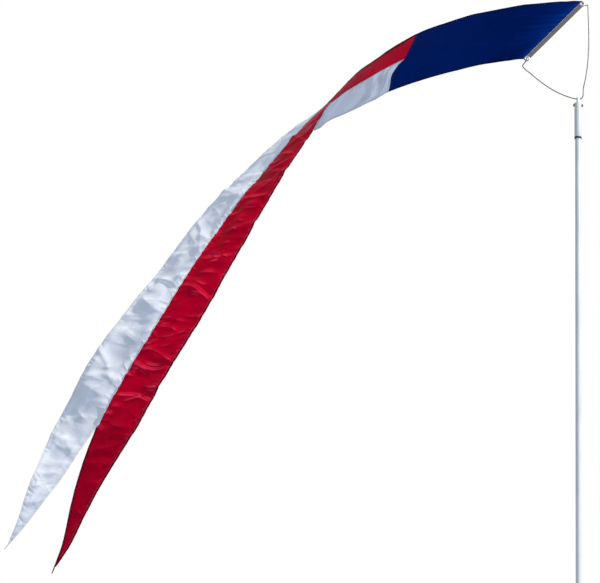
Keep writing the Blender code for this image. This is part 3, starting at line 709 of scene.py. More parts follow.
# ------------------------------------------------------------------ swivelling head
def hexagon(name, across_flats, low, high, bore, material_name, matrix, chamfer_both=False):
    """A bolt head or nut: its radius at angle a is the smaller of the hexagon's, flats / 2 / cos(a from
    the middle of a flat), and a 30 degree cone's, which chamfers the corners."""
    angle = np.linspace(0, 2 * math.pi, 96, endpoint=False)
    flats = across_flats / 2
    hexed = flats / np.cos(np.mod(angle, math.pi / 3) - math.pi / 6)
    chamfer = 0.0012
    z = np.concatenate([np.linspace(high, high - chamfer, 6), [(low + high) / 2],
                        np.linspace(low + chamfer, low, 6)])
    cone = flats * 0.93 + (high - z) / math.tan(math.radians(30))
    if chamfer_both:
        cone = np.minimum(cone, flats * 0.93 + (z - low) / math.tan(math.radians(30)))
    radius = np.minimum(hexed[None, :], cone[:, None])
    level = np.repeat(z[:, None], len(angle), 1)
    outer = np.stack([radius * np.cos(angle), radius * np.sin(angle), level], axis=-1)
    ends = [(bore, low), (bore, high)] if bore else [(0.0, low), (0.0, high)]
    inner = [np.stack([r * np.cos(angle), r * np.sin(angle), np.full(len(angle), h)], axis=-1)
             for r, h in ends]
    points = np.concatenate([outer, np.stack(inner)])
    faces = grid_faces(len(points), len(angle), wrap_rows=bool(bore), wrap_columns=True)
    if not bore:
        points = np.concatenate([points[-1:], points[:-1]])
    return make_piece(name, moved(points.reshape(-1, 3), matrix), faces, material_name, sharp=25)


class WINDSTREAMER_OT_head(bpy.types.Operator):
    """Makes the sleeve that turns on the pole, the stem in it and the bolt across both"""

    bl_idname = "windstreamer.head"
    bl_label = "Swivelling Head"

    def execute(self, context):
        low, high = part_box("head_sleeve")
        bore = SLEEVE_RADIUS - SLEEVE_WALL
        profile = [(SLEEVE_RADIUS, high.z), (SLEEVE_RADIUS, low.z), (bore, low.z), (bore, high.z)]
        sleeve = turned("swivel_sleeve", rounded(profile, 0.0006), "powder_coated_aluminium", steps=80)
        bored(sleeve, (-0.03, 0, BOLT_Z), (0.03, 0, BOLT_Z), BOLT_BORE)
        stand_for(sleeve, "head", "white_enamel", "head_sleeve")
        self.stem()
        self.bolt()
        return {"FINISHED"}

    def stem(self):
        """A turned plug with a domed top, a waist groove and a cross hole for the wire."""
        low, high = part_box("wire_stem")
        shoulder = high.x
        socket = 0.0025
        shoulder_top = SLEEVE_TOP - 0.0020
        arc = np.radians(np.linspace(90, 0, 12))
        dome = np.stack([STEM_RADIUS * np.cos(arc), high.z - STEM_RADIUS * 0.5 * (1 - np.sin(arc))], axis=1)
        neck = [(STEM_RADIUS, SLEEVE_TOP + 0.0060), (STEM_RADIUS - 0.0007, SLEEVE_TOP + 0.0054),
                (STEM_RADIUS - 0.0007, SLEEVE_TOP + 0.0044), (STEM_RADIUS, SLEEVE_TOP + 0.0038)]
        base = [(STEM_RADIUS, shoulder_top), (shoulder, shoulder_top), (shoulder, low.z), (socket, low.z),
                (socket, low.z + 0.0062), (0, low.z + 0.0062)]
        profile = np.concatenate([dome, rounded(neck + base, 0.0004, 3, closed=False)])
        stem = turned("wire_stem_top", profile, "moulded_nylon", steps=64, closed=False)
        bored(stem, (-0.02, 0, EYE_Z), (0.02, 0, EYE_Z), EYE_BORE)
        bored(stem, (-0.02, 0, BOLT_Z), (0.02, 0, BOLT_Z), BOLT_BORE)
        stand_for(stem, "head", "white_nylon_moulding", "wire_stem")

    def bolt(self):
        """Head, shank and nut along X. The shank carries a rolled thread: its radius at x and angle a
        rises from root to crest and back once in each pitch, root + (crest - root) (1 - |2 p - 1|),
        where p is the fraction of x / pitch - a / 360. The tip tapers."""
        low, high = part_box("cross_bolt")
        face = SLEEVE_RADIUS + FIT
        across = facing((0, 0, BOLT_Z), (-1, 0, 0))
        head = hexagon("bolt_head", ACROSS_FLATS, face, -low.x, 0.0, "zinc_plated_steel", across)
        stand_for(head, "head", "dull_steel", "cross_bolt")
        sides = 48
        angle = np.linspace(0, 2 * math.pi, sides, endpoint=False)
        x = np.linspace(-face + 0.004, high.x, 90)
        phase = np.mod(x[:, None] / BOLT_PITCH - angle[None, :] / (2 * math.pi), 1.0)
        radius = BOLT_ROOT + (BOLT_CREST - BOLT_ROOT) * (1 - np.abs(2 * phase - 1))
        taper = np.clip((high.x - x) / 0.0006, 0, 1)[:, None]
        narrow = BOLT_ROOT * 0.85
        radius = np.minimum(radius, narrow + (BOLT_CREST - narrow) * taper)
        along = np.repeat(x[:, None], sides, 1)
        rings = np.stack([along, radius * np.cos(angle), radius * np.sin(angle)], axis=-1)
        plain = np.stack([np.full(sides, -face), BOLT_ROOT * np.cos(angle), BOLT_ROOT * np.sin(angle)],
                         axis=-1)
        tip = np.stack([np.full(sides, high.x), 0 * angle, 0 * angle], axis=-1)
        back = np.stack([np.full(sides, -face), 0 * angle, 0 * angle], axis=-1)
        points = np.concatenate([back[None], plain[None], rings, tip[None]]) + (0, 0, BOLT_Z)
        faces = grid_faces(len(points), sides, wrap_columns=True)
        shank = make_piece("bolt_shank", points, faces, "zinc_plated_steel", sharp=50)
        stand_for(shank, "head", "dull_steel", "cross_bolt")
        nut_low, nut_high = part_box("cross_nut")
        nut = hexagon("bolt_nut", ACROSS_FLATS, nut_low.x, nut_high.x, BOLT_CREST + FIT, "zinc_plated_steel",
                      facing((0, 0, BOLT_Z), (1, 0, 0)), chamfer_both=True)
        stand_for(nut, "head", "dull_steel", "cross_nut")


# ------------------------------------------------------------------ wire bow
def bow_arm(start, end, bulge, out):
    """Points on a springy arm: its chord, pushed out most just before the middle."""
    start = np.asarray(start)
    end = np.asarray(end)
    out = np.asarray(out)
    steps = np.linspace(0.12, 1.0, 8)
    return [tuple(start + (end - start) * t + out * bulge * math.sin(math.pi * t**0.8)) for t in steps]


def hook(grommet, offsets):
    """Points given as distances along the heading, behind it, and towards +Y, from a grommet."""
    back = np.array((0.0, 1.0, 0.0))
    return [tuple(grommet + a * ALONG_HEADING + b * BEHIND_HEADING + c * back) for a, b, c in offsets]


def bow_route():
    """The wire's route, as the frame has it: hook, upper arm, the stem's eye, lower arm, hook."""
    lap = WIRE_RADIUS + 0.0090 + 0.0028
    seat = GROMMET_BORE - WIRE_RADIUS - HOOK_PLAY
    through = [(seat, 0.0, 0.0095), (seat, 0.0, 0.003), (seat, 0.0, -0.003), (seat, 0.0, -0.0085)]
    lower_through = [(-a, b, c) for a, b, c in through]
    upper_hook = hook(UPPER_GROMMET, [(0.0075, 0.0195, 0.001), (0.0125, 0.0125, 0.0065),
                                      (0.0095, 0.0050, lap - 0.001), (0.0050, 0.0014, lap)] + through)
    lower_hook = hook(LOWER_GROMMET, [(-0.0285, 0.0062, 0.003), (-0.0205, 0.0036, 0.0095),
                                      (-0.0120, 0.0018, lap - 0.0005), (-0.0055, 0.0006, lap)]
                      + lower_through)
    upper_end = hook(UPPER_GROMMET, [(-0.0019, 0.0276, 0.0)])[0]
    lower_end = hook(LOWER_GROMMET, [(-0.0330, 0.0135, 0.0)])[0]
    straight = STEM_RADIUS + 0.0008
    upper_start = (straight + 0.0010, 0.0, EYE_Z + 0.0020)
    lower_start = (-straight - 0.0010, 0.0, EYE_Z + 0.0004)
    knots = upper_hook[::-1] + bow_arm(upper_start, upper_end, 0.0150, (1.0, 0.0, 0.0))[::-1]
    knots += [(straight + 0.0052, 0.0, EYE_Z + 0.0030), (straight, 0.0, EYE_Z), (0.0, 0.0, EYE_Z),
              (-straight, 0.0, EYE_Z)]
    return knots + bow_arm(lower_start, lower_end, 0.0155, (-0.52, 0.0, -0.85)) + lower_hook


class WINDSTREAMER_OT_bow(bpy.types.Operator):
    """Makes the spring wire that holds the streamer's heading"""

    bl_idname = "windstreamer.bow"
    bl_label = "Wire Bow"

    def execute(self, context):
        path = smooth_path(bow_route(), 620)[0]
        rings = capped(swept(path, WIRE_RADIUS, 20))
        wire = make_piece("bow_spring_wire", rings, grid_faces(len(rings), 20, wrap_columns=True),
                          "galvanised_spring_wire", sharp=None)
        stand_for(wire, "head", "spring_wire", "bow_wire")
        return {"FINISHED"}


# ------------------------------------------------------------------ heading and grommets
class WINDSTREAMER_OT_heading(bpy.types.Operator):
    """Makes the webbing along the hoist and its two grommets"""

    bl_idname = "windstreamer.heading"
    bl_label = "Heading"

    def execute(self, context):
        self.webbing()
        for name, spot in (("upper_grommet", UPPER_GROMMET), ("lower_grommet", LOWER_GROMMET)):
            self.grommet(name, spot)
        return {"FINISHED"}

    def webbing(self):
        """A band with a flattened round section: across = w/2 |cos a|^0.5, thick = t/2 |sin a|^0.5, each
        with its sign, carried straight along the hoist."""
        sides = 36
        stations = 260
        angle = np.linspace(0, 2 * math.pi, sides, endpoint=False)
        c = np.cos(angle)
        s = np.sin(angle)
        across = np.sign(c) * np.abs(c) ** 0.35 * HEADING_WIDTH / 2
        thick = np.sign(s) * np.abs(s) ** 0.6 * HEADING_THICKNESS / 2
        along = np.linspace(-STREAMER_WIDTH / 2, STREAMER_WIDTH / 2, stations)
        ends = np.r_[0.0, 0.93, np.ones(stations - 4), 0.93, 0.0][:, None]
        stitched = 1 - 0.10 * np.exp(-((np.abs(across) - 0.0048) / 0.0007) ** 2)
        points = (HEADING_CENTRE + along[:, None, None] * ALONG_HEADING
                  + (across * ends)[..., None] * BEHIND_HEADING
                  + (thick * stitched * ends)[..., None] * np.array((0.0, 1.0, 0.0)))
        uv = np.stack([np.repeat(along[:, None], sides, 1), np.repeat(across[None], stations, 0)], axis=-1)
        tape = make_piece("heading_webbing", points, grid_faces(stations, sides, wrap_columns=True),
                          "rib_webbing", uv=uv, sharp=None)
        for spot in (UPPER_GROMMET, LOWER_GROMMET):
            bored(tape, spot - (0, 0.01, 0), spot + (0, 0.01, 0), 0.0055)
        stand_for(tape, "streamer", "grey_webbing", "heading_tape")

    def grommet(self, name, spot):
        """An eyelet whose barrel is rolled over a toothless washer, both pressed from thin brass."""
        near = HEADING_THICKNESS / 2 + FIT
        back = near + 0.0005
        metal = 0.0005
        roll = back + FIT
        matrix = facing(spot, (0, 1, 0))
        eyelet = [(0.0064, roll + metal), (0.0064, roll), (0.0052, roll), (0.0052, -near), (0.0088, -near),
                  (0.0090, -near - 0.0001), (0.0072, -near - metal - 0.0001), (0.0056, -near - metal),
                  (0.0049, -near), (GROMMET_BORE, -0.0004), (GROMMET_BORE, 0.0004), (0.0049, roll),
                  (0.0056, roll + metal)]
        ring = turned(name + "_ring", rounded(eyelet, 0.0003, 3), "nickel_plated_brass", matrix, steps=56)
        stand_for(ring, "streamer", "nickelled_brass", name + "_eyelet")
        washer = [(0.0090, back), (0.0090, near), (0.0055, near), (0.0055, back)]
        plate = turned(name + "_plate", rounded(washer, 0.00022, 3), "nickel_plated_brass", matrix, steps=56)
        stand_for(plate, "streamer", "nickelled_brass", name + "_washer")


# ------------------------------------------------------------------ cloth
ROW = 0.0024                  # between rows of points along the cloth
COLUMNS = 50                  # spaces across each half
SPREAD = np.linspace(0, 1, COLUMNS + 1)
SPREAD = SPREAD - 0.055 * np.sin(2 * math.pi * SPREAD)     # closer together at the seam and the hem
STITCH = np.array((0.0, 0.22, 0.72))      # where in its pitch a stitch comes up, lies flat and turns down
BODY = (STREAMER_LENGTH - TAIL_LENGTH) * GATHER
TAIL = TAIL_LENGTH * GATHER
BLUE = BLUE_LENGTH * GATHER


def half_lines(red):
    """A half of the streamer from hoist to tip: its inner line, its direction outwards and its width."""
    count = round(BODY / ROW) + 1
    rows, _ = smooth_path(stretched(FLIGHT, BODY), count)
    hoist = HEADING_CENTRE - (HEADING_WIDTH / 2 + HEADING_SEAM) * BEHIND_HEADING
    inner = rows[:, :3] + hoist
    side = outward(rows[:, 4], rows[:, 5]) if red else -outward(rows[:, 6], rows[:, 7])
    width = STREAMER_WIDTH / 2 * rows[:, 3]
    tail_count = round(TAIL / ROW) + 1
    tail, _ = smooth_path(stretched(RED_TAIL if red else WHITE_TAIL, TAIL), tail_count)
    tail_side = outward(tail[:, 3], tail[:, 4]) * (1 if red else -1)
    part = np.linspace(0, 1, tail_count)
    if red:
        distance = np.arange(count) * ROW
        scallop = np.abs(np.sin(distance / 0.036 + 1.3 * np.sin(distance / 0.11)))
        width = width - 0.0035 * scallop * np.interp(distance, (0.03, 0.12, 0.42, BLUE), (0, 1, 1, 0))
    taper = np.interp(part, (0, 0.925, 0.955, 1), (1, 0.075, 0.03, 0.018))
    return (np.concatenate([inner, inner[-1] + tail[1:, :3]]),
            np.concatenate([side, tail_side[1:]]),
            np.concatenate([width, STREAMER_WIDTH / 2 * taper[1:]]))


def lattice(s, w, cell, seed, low=-1.0, high=1.0):
    """Smooth noise: random values on a lattice with cells of that size, blended by smooth steps."""
    rng = np.random.default_rng(seed)
    x = s / cell[0] + 1
    y = np.abs(w) / cell[1] + 1
    values = rng.uniform(low, high, (int(x.max()) + 2, int(y.max()) + 2))
    i = x.astype(int)
    j = y.astype(int)
    a = x - i
    b = y - j
    a = a * a * (3 - 2 * a)
    b = b * b * (3 - 2 * b)
    near = values[i, j] * (1 - b) + values[i, j + 1] * b
    far = values[i + 1, j] * (1 - b) + values[i + 1, j + 1] * b
    return near * (1 - a) + far * a


def creases(s, w, seed, spacing, rise, fall, reach, turned=0.5):
    """Creases across a stripe. Each has its own line, from the seam, from the hem or between them, bent
    a little, and the profile 2 / (exp(-x / rise) + exp(x / fall)), a crest with one steep flank. Its
    height fades along the line. A turned crease has its steep flank on the other side."""
    rng = np.random.default_rng(seed)
    made = np.zeros_like(s)
    across = np.abs(w)
    row = s[:, 0]
    place = 0.0
    while place < row[-1]:
        place += rng.uniform(*spacing)
        span = rng.uniform(*reach)
        start = rng.choice((0.0, 0.5, 1.0)) * STREAMER_WIDTH / 2
        slope = rng.normal(0, 0.30)
        curve = rng.uniform(-5, 5)
        high = rng.uniform(0.35, 1.0)
        a = rise * rng.uniform(0.7, 1.5)
        b = fall * rng.uniform(0.6, 1.3)
        if rng.uniform() < turned:
            a, b = b, a
        low, top = np.searchsorted(row, (place - 0.15, place + 0.15))
        if top - low < 2:
            continue
        d = across[low:top] - start
        x = np.clip(s[low:top] - place - slope * d - curve * d * d, -0.12, 0.12)
        fade = np.clip(1 - np.abs(d) / span, 0, 1)
        made[low:top] += high * 2 / (np.exp(-x / a) + np.exp(x / b)) * fade * fade * (3 - 2 * fade)
    return made


def puckers(s, edge, seed, spacing, reach, width):
    """Short sharp ridges that start at an edge: each is a peak exp(-sqrt(x² + 0.2)) across its line and
    fades along it. edge is how far each point is from that edge."""
    rng = np.random.default_rng(seed)
    made = np.zeros_like(s)
    place = 0.0
    row = s[:, 0]
    while place < row[-1]:
        place += rng.uniform(*spacing)
        span = rng.uniform(*reach)
        thin = rng.uniform(*width)
        slope = rng.uniform(-0.9, 0.9)
        curve = rng.uniform(-6, 6)
        high = rng.uniform(0.4, 1.0)
        low, top = np.searchsorted(row, (place - 0.09, place + 0.09))
        if top - low < 2:
            continue
        d = edge[low:top]
        x = (s[low:top] - place - slope * d - curve * d * d) / thin
        fade = np.clip(1 - d / span, 0, 1)
        made[low:top] += high * np.exp(0.45 - np.sqrt(x * x + 0.2)) * fade * fade * (3 - 2 * fade)
    return made


def cloth_height(s, w, width, red, settings):
    """How far each point of a half stands off its smooth shape, towards the side that faces back at the
    hoist. s is along the cloth, w across it from the seam, and width is the half's width there."""
    along = s
    across = np.abs(w)
    share = across / np.maximum(width, 1e-6)
    from_hem = np.maximum(width - across, 0)
    seed = settings.seed + (0 if red else 50)
    knots = (0, 0.05, BLUE - 0.02, BLUE + 0.012, BLUE + 0.12, BLUE + 0.18, BLUE + 0.34, 0.98, BODY - 0.1,
             BODY, BODY + 0.6 * TAIL, BODY + 0.9 * TAIL, BODY + TAIL)
    levels = ((0, 0.12, 0.08, 0.22, 0.22, 0.22, 0.22, 1.00, 1.00, 0.55, 0.35, 0.15, 0) if red else
              (0, 0.12, 0.08, 1.00, 0.90, 0.15, 0.10, 1.00, 1.00, 1.00, 0.60, 0.30, 0))
    strength = np.interp(along, knots, levels) * (1.75 if red else 1.3)
    seam = 0.25 + 0.75 * np.clip(across / 0.022, 0, 1)
    hem = 0.40 + 0.60 * np.clip(from_hem / 0.022, 0, 1)
    rise, fall, turned = (0.0036, 0.017, 0.2) if red else (0.0050, 0.020, 0.5)
    height = settings.fold * strength * seam * hem * (
        creases(s, w, seed, (0.012, 0.040), rise, fall, (0.06, 0.17), turned)
        + 0.45 * creases(s, w, seed + 11, (0.006, 0.022), 0.6 * rise, 0.5 * fall, (0.02, 0.07), turned))
    height += (0.0036 if red else 0.0060) * strength * hem * seam * (
        lattice(s, w, (0.085, 0.075), seed + 17) + 0.5 * lattice(s, w, (0.040, 0.045), seed + 18))
    if not red:
        filled = np.clip((along - BLUE + 0.01) / 0.075, 0, 1)
        emptied = np.clip((along - BLUE - 0.085) / 0.15, 0, 1)
        bell = filled**2 * (3 - 2 * filled) * (1 - emptied**2 * (3 - 2 * emptied))
        height -= 0.019 * bell * np.clip(across / 0.05, 0, 1) * np.clip(from_hem / 0.05, 0.25, 1)
    drawn = np.interp(along, (0, BLUE - 0.02, BLUE + 0.03, BLUE + 0.30, BLUE + 0.42, BODY + TAIL),
                      (0.10, 0.10, 0.25, 0.20, 1.0, 1.0))
    seam_line = np.where(along < BODY, 1.0, 0.45)
    height += settings.pucker * drawn * seam_line * np.clip(across / 0.004, 0.25, 1) * puckers(
        s, across, seed + 21, (0.014, 0.032), (0.015, 0.055), (0.0022, 0.0042))
    hem_line = np.clip(share * 3, 0, 1) * np.clip(from_hem / 0.006, 0.4, 1)
    height -= settings.pucker * drawn * hem_line * puckers(
        s, from_hem, seed + 31, (0.012, 0.028), (0.012, 0.045), (0.0022, 0.0040))
    fan = np.exp(-along / 0.16) * np.clip(along / 0.02, 0, 1)
    height += 0.0011 * fan * np.sin(w / 0.0052 + 2.0 * np.sin(along / 0.05)) * np.sin(w / 0.021 + 0.8)
    return height


def seam_drift(s, v):
    """How far the white cloth beside the blue panel is drawn towards the tails: a bell over both the
    distance from the blue seam and the width."""
    across = np.exp(-((v - 0.40) / 0.30) ** 2) * np.minimum(1, v / 0.15)
    return 0.018 * np.exp(-((s - BLUE) / 0.09) ** 2) * across


def hem_width(s, red, hem):
    """The hem's width along the cloth. The red one is wider before the twist, where its darker tone also
    paints the shade of the curled edge.
    """
    if not red:
        return hem
    return hem * np.interp(s, (BLUE, BLUE + 0.05, BLUE + 0.30, BLUE + 0.40), (1.0, 2.6, 2.6, 1.0))


def half_cloth(red, settings):
    """The finished middle surface of one half, its cloth coordinates, and its hem and crease shares.

    Point = inner line + own direction · (q + w) / 2 + other half's direction · (q - w) / 2
    + normal · height(s, w), where q = sqrt(w² + e²) rounds the fold between the halves over about e.
    At the seam the normal is the mean of both halves', so that they meet in one line.
    """
    lines = {flag: half_lines(flag) for flag in (True, False)}
    normals = {}
    for flag, (inner, side, _) in lines.items():
        along = unit(np.gradient(inner, axis=0))
        normals[flag] = unit(np.cross(along, side if flag else -side))
    inner, side, width = lines[red]
    v = SPREAD
    distance = np.arange(len(inner)) * ROW
    soft = np.interp(distance, (0, BLUE + 0.2, BLUE + 0.45, BODY - 0.15, BODY),
                     (0.035, 0.03, 0.012, 0.012, 0))
    across = width[:, None] * v
    spread = np.hypot(across, soft[:, None])
    other = lines[not red][1]
    base = (inner[:, None] + side[:, None] * ((spread + across) / 2)[..., None]
            + other[:, None] * ((spread - across) / 2)[..., None])
    s = np.repeat(distance[:, None], COLUMNS + 1, 1)
    w = width[:, None] * v * (1 if red else -1)
    mean = unit(normals[True] + normals[False])
    if not red:
        base = base + unit(np.gradient(inner, axis=0))[:, None] * seam_drift(s, v)[..., None]
    step = np.clip(np.abs(w) / 0.03, 0, 1)
    step = np.where(s < BODY, step * step * (3 - 2 * step), 1.0)[..., None]
    normal = unit(mean[:, None] * (1 - step) + normals[red][:, None] * step)
    height = cloth_height(s, w, width[:, None], red, settings)
    points = base + normal * height[..., None]
    # Sharp bends of the height make the crease share, which the material paints paler: partly crease
    # whitening, partly a painted highlight.
    bend = np.abs(np.gradient(np.gradient(height, ROW, axis=0), ROW, axis=0))
    crease = np.clip((bend - 40) / 90, 0, 1)
    from_hem = width[:, None] * (1 - v)
    edge = np.where(s < BODY, from_hem, np.minimum(from_hem, width[:, None] * v))
    hem = np.clip((hem_width(s, red, settings.hem) - edge) / 0.0016 + 0.5, 0, 1)
    return points, np.stack([s, w], axis=-1), hem, crease


def closed_sheet(name, points, uv, hem, crease, thickness, material_name):
    """Two layers either side of a middle surface, half a thickness along its normals, joined by a rim.
    A hem is three times as thick, as folded cloth is."""
    along = np.gradient(points, axis=0)
    across = np.gradient(points, axis=1)
    normal = unit(np.cross(along, across))
    half = (thickness / 2 * (1 + 1.6 * hem))[..., None]
    rows, columns = points.shape[:2]
    front = (points + normal * half).reshape(-1, 3)
    behind = (points - normal * half).reshape(-1, 3)
    layers = np.concatenate([front, behind])
    count = rows * columns
    top = grid_faces(rows, columns)
    bottom = top[:, ::-1] + count
    index = np.arange(count).reshape(rows, columns)
    ring = np.concatenate([index[0, :-1], index[:-1, -1], index[-1, :0:-1], index[:0:-1, 0]])
    following = np.roll(ring, -1)
    rim = np.stack([ring, ring + count, following + count, following], axis=1)
    return make_piece(name, layers, np.concatenate([top, bottom, rim]), material_name,
                      uv=np.concatenate([uv.reshape(-1, 2)] * 2), sharp=None, tidy=False,
                      marks={"hem": np.concatenate([hem.ravel()] * 2),
                             "crease": np.concatenate([crease.ravel()] * 2)})


def on_cloth(grid, rows, columns):
    """Places and normals at fractional rows and columns of a grid, by blending the four neighbours."""
    normals = unit(np.cross(np.gradient(grid, axis=0), np.gradient(grid, axis=1)))
    i = np.clip(rows.astype(int), 0, grid.shape[0] - 2)
    j = np.clip(columns.astype(int), 0, grid.shape[1] - 2)
    a = (rows - i)[:, None]
    b = (columns - j)[:, None]
    made = []
    for field in (grid, normals):
        near = field[i, j] * (1 - b) + field[i, j + 1] * b
        far = field[i + 1, j] * (1 - b) + field[i + 1, j + 1] * b
        made.append(near * (1 - a) + far * a)
    return made


def columns_at(width, rows, red, w):
    """Fractional columns of the whole grid at a distance w from the middle seam, on one half."""
    here = np.interp(rows, np.arange(len(width)), width)
    found = np.interp(w / here, SPREAD, np.arange(COLUMNS + 1))
    return COLUMNS + found * (1 if red else -1)


def columns_beside(widths, rows, w):
    """Fractional columns at distances w from the middle seam, where w is positive on the red half."""
    on_red = columns_at(widths[True], rows, True, np.maximum(w, 0))
    on_white = columns_at(widths[False], rows, False, np.maximum(-w, 0))
    return np.where(w > 0, on_red, on_white)


def lock_stitch(start, end, pitch, skin, radius):
    """Rows and heights for three points a stitch between two distances along the cloth. A stitch rises
    from inside the cloth, lies on it and dips in again."""
    count = int((end - start) / pitch)
    step = (np.arange(count)[:, None] + STITCH).ravel()
    return (start + step * pitch) / ROW, np.tile((-skin, skin + radius, skin + radius), count)


def sewn(name, grid, rows, columns, lift, radius, slot, finish_name):
    """Thread along fractional rows and columns of the cloth, standing lift above it, on both faces."""
    for face, side in ((1, "front"), (-1, "back")):
        place, normal = on_cloth(grid, rows, columns)
        rings = capped(swept(place + face * normal * lift[:, None], radius, 5))
        faces = grid_faces(len(rings), 5, wrap_columns=True)
        thread = make_piece(f"{name}_{side}", rings, faces, finish_name, sharp=None)
        stand_for(thread, "streamer", slot)


class WINDSTREAMER_OT_cloth(bpy.types.Operator):
    """Makes the blue panel and the two stripes, with their puckers, folds, hems and stitches"""

    bl_idname = "windstreamer.cloth"
    bl_label = "Cloth"

    def execute(self, context):
        settings = context.scene.streamer_cloth
        halves = {red: half_cloth(red, settings) for red in (True, False)}
        cut = round(BLUE / ROW)
        whole = [np.concatenate([halves[False][k][:cut + 1, :0:-1], halves[True][k][:cut + 1]], axis=1)
                 for k in range(4)]
        blue = closed_sheet("blue_cloth", *whole, settings.thickness, "navy_taffeta")
        stand_for(blue, "streamer", "navy_nylon", "blue_panel")
        for red, name, slot, node, finish_name in (
                (True, "red_cloth", "red_nylon", "red_stripe", "red_taffeta"),
                (False, "white_cloth", "white_nylon", "white_stripe", "white_taffeta")):
            grids = [part[cut:] if red else part[cut:, ::-1] for part in halves[red]]
            stripe = closed_sheet(name, *grids, settings.thickness, finish_name)
            stand_for(stripe, "streamer", slot, node)
        self.stitches(halves, settings.thickness / 2, context.scene.streamer_hardware)
        return {"FINISHED"}

    def stitches(self, halves, skin, hardware):
        """Zigzag along the middle seam, and lock stitch along the hems, the tails and the blue seam."""
        grid = np.concatenate([halves[False][0][:, :0:-1], halves[True][0]], axis=1)
        widths = {red: half_lines(red)[2] for red in (True, False)}
        self.seam_allowance(grid, widths, skin)
        self.seam_zigzag(grid, widths, skin, hardware.thread)
        for red in (True, False):
            self.edge_rows(red, grid, halves[red][0], widths[red], skin, hardware)
        self.cross_rows(grid, skin, hardware)

    def seam_allowance(self, grid, widths, skin):
        """The raw edges behind the middle seam: a narrow strip, pressed to the white side."""
        seam_rows = np.arange((BLUE + 0.002) / ROW, BODY / ROW - 1, 1.0)
        rows, across = np.meshgrid(seam_rows, np.linspace(-1.0, 3.4, 8), indexing="ij")
        w = across.ravel() / 1000
        flat_rows = rows.ravel()
        place, _ = on_cloth(grid, flat_rows, columns_beside(widths, flat_rows, w))
        band = place.reshape(*rows.shape, 3)
        uv = np.stack([rows * ROW, across / 1000], axis=-1)
        allowance = closed_sheet("seam_allowance", band, uv, 0 * rows, 0 * rows, 6 * skin, "white_taffeta")
        stand_for(allowance, "streamer", "white_nylon")

    def seam_zigzag(self, grid, widths, skin, radius):
        """Thread that sways over the seam, four points to a zigzag, and dips at each turn."""
        zigzag = 0.0048
        step = np.arange(int((BODY - BLUE - 0.004) / zigzag) * 4)
        rows = (BLUE + 0.002 + step * zigzag / 4) / ROW
        sway = np.array((0.0030, 0.0012, -0.0008, 0.0012))[step % 4]
        lift = np.where(step % 2, 3 * skin + 1.2 * radius, 1.5 * skin)
        sewn("seam_zigzag", grid, rows, columns_beside(widths, rows, sway), lift, 1.6 * radius, "white_nylon",
             "white_thread")

    def edge_rows(self, red, grid, half, width, skin, hardware):
        """Lock stitch along one half: its hem, the blue panel's hem and the tail's inner hem."""
        radius = hardware.thread
        pitch = hardware.stitch
        tone = "red" if red else "white"
        slot = tone + "_nylon"
        every = np.arange(len(width))
        rows, lift = lock_stitch(BLUE + 0.003, BODY + 0.90 * TAIL, pitch, skin, radius)
        inset = np.interp(rows, every, width) - hem_width(rows * ROW, red, 0.0078)
        sewn(f"{tone}_hem_stitches", grid, rows, columns_at(width, rows, red, inset), lift, 1.4 * radius,
             slot, "pink_thread_for_hem_glint" if red else "white_thread")
        rows, lift = lock_stitch(0.004, BLUE - 0.004, pitch, skin, radius)
        inset = np.interp(rows, every, width) - 0.0072
        sewn(f"blue_{tone}_side_stitches", grid, rows, columns_at(width, rows, red, inset), lift, radius,
             "navy_nylon", "navy_thread")
        rows, lift = lock_stitch(BODY + 0.012, BODY + 0.90 * TAIL, pitch, skin, radius)
        columns = np.interp(0.0060 / np.interp(rows, every, width), SPREAD, np.arange(COLUMNS + 1))
        sewn(f"{tone}_tail_stitches", half, rows, columns, lift, radius, slot, tone + "_thread")

    def cross_rows(self, grid, skin, hardware):
        """Lock stitch across the cloth: at the heading, and twice at the blue panel's seam."""
        count = int(0.96 * STREAMER_WIDTH / hardware.stitch)
        step = (np.arange(count)[:, None] + STITCH).ravel() / count
        columns = 1.5 + (2 * COLUMNS - 3) * step
        lift = np.tile((-skin, skin + hardware.thread, skin + hardware.thread), count)
        for name, place, slot in (("hoist_stitches", 0.004, "grey_webbing"),
                                  ("blue_seam_stitches", BLUE - 0.003, "navy_nylon"),
                                  ("blue_fell_stitches", BLUE - 0.009, "navy_nylon")):
            rows = np.full(len(columns), place / ROW)
            sewn(name, grid, rows, columns, lift, hardware.thread, slot, "navy_thread")


# ------------------------------------------------------------------ stage
SUN_TRAVEL = (-0.680, 0.460, -0.570)      # the way its light goes: from the right, the front and above
SUN_STRENGTH = 4.1
FLOOR_REACH = 14.0
CAMERA_PLACE = (-0.882, -4.118, 1.740)
CAMERA_TILT = 16.72
CAMERA_ROLL = 3.41
CAMERA_LENS = 81.56                       # millimetres, on a sensor 36 mm wide


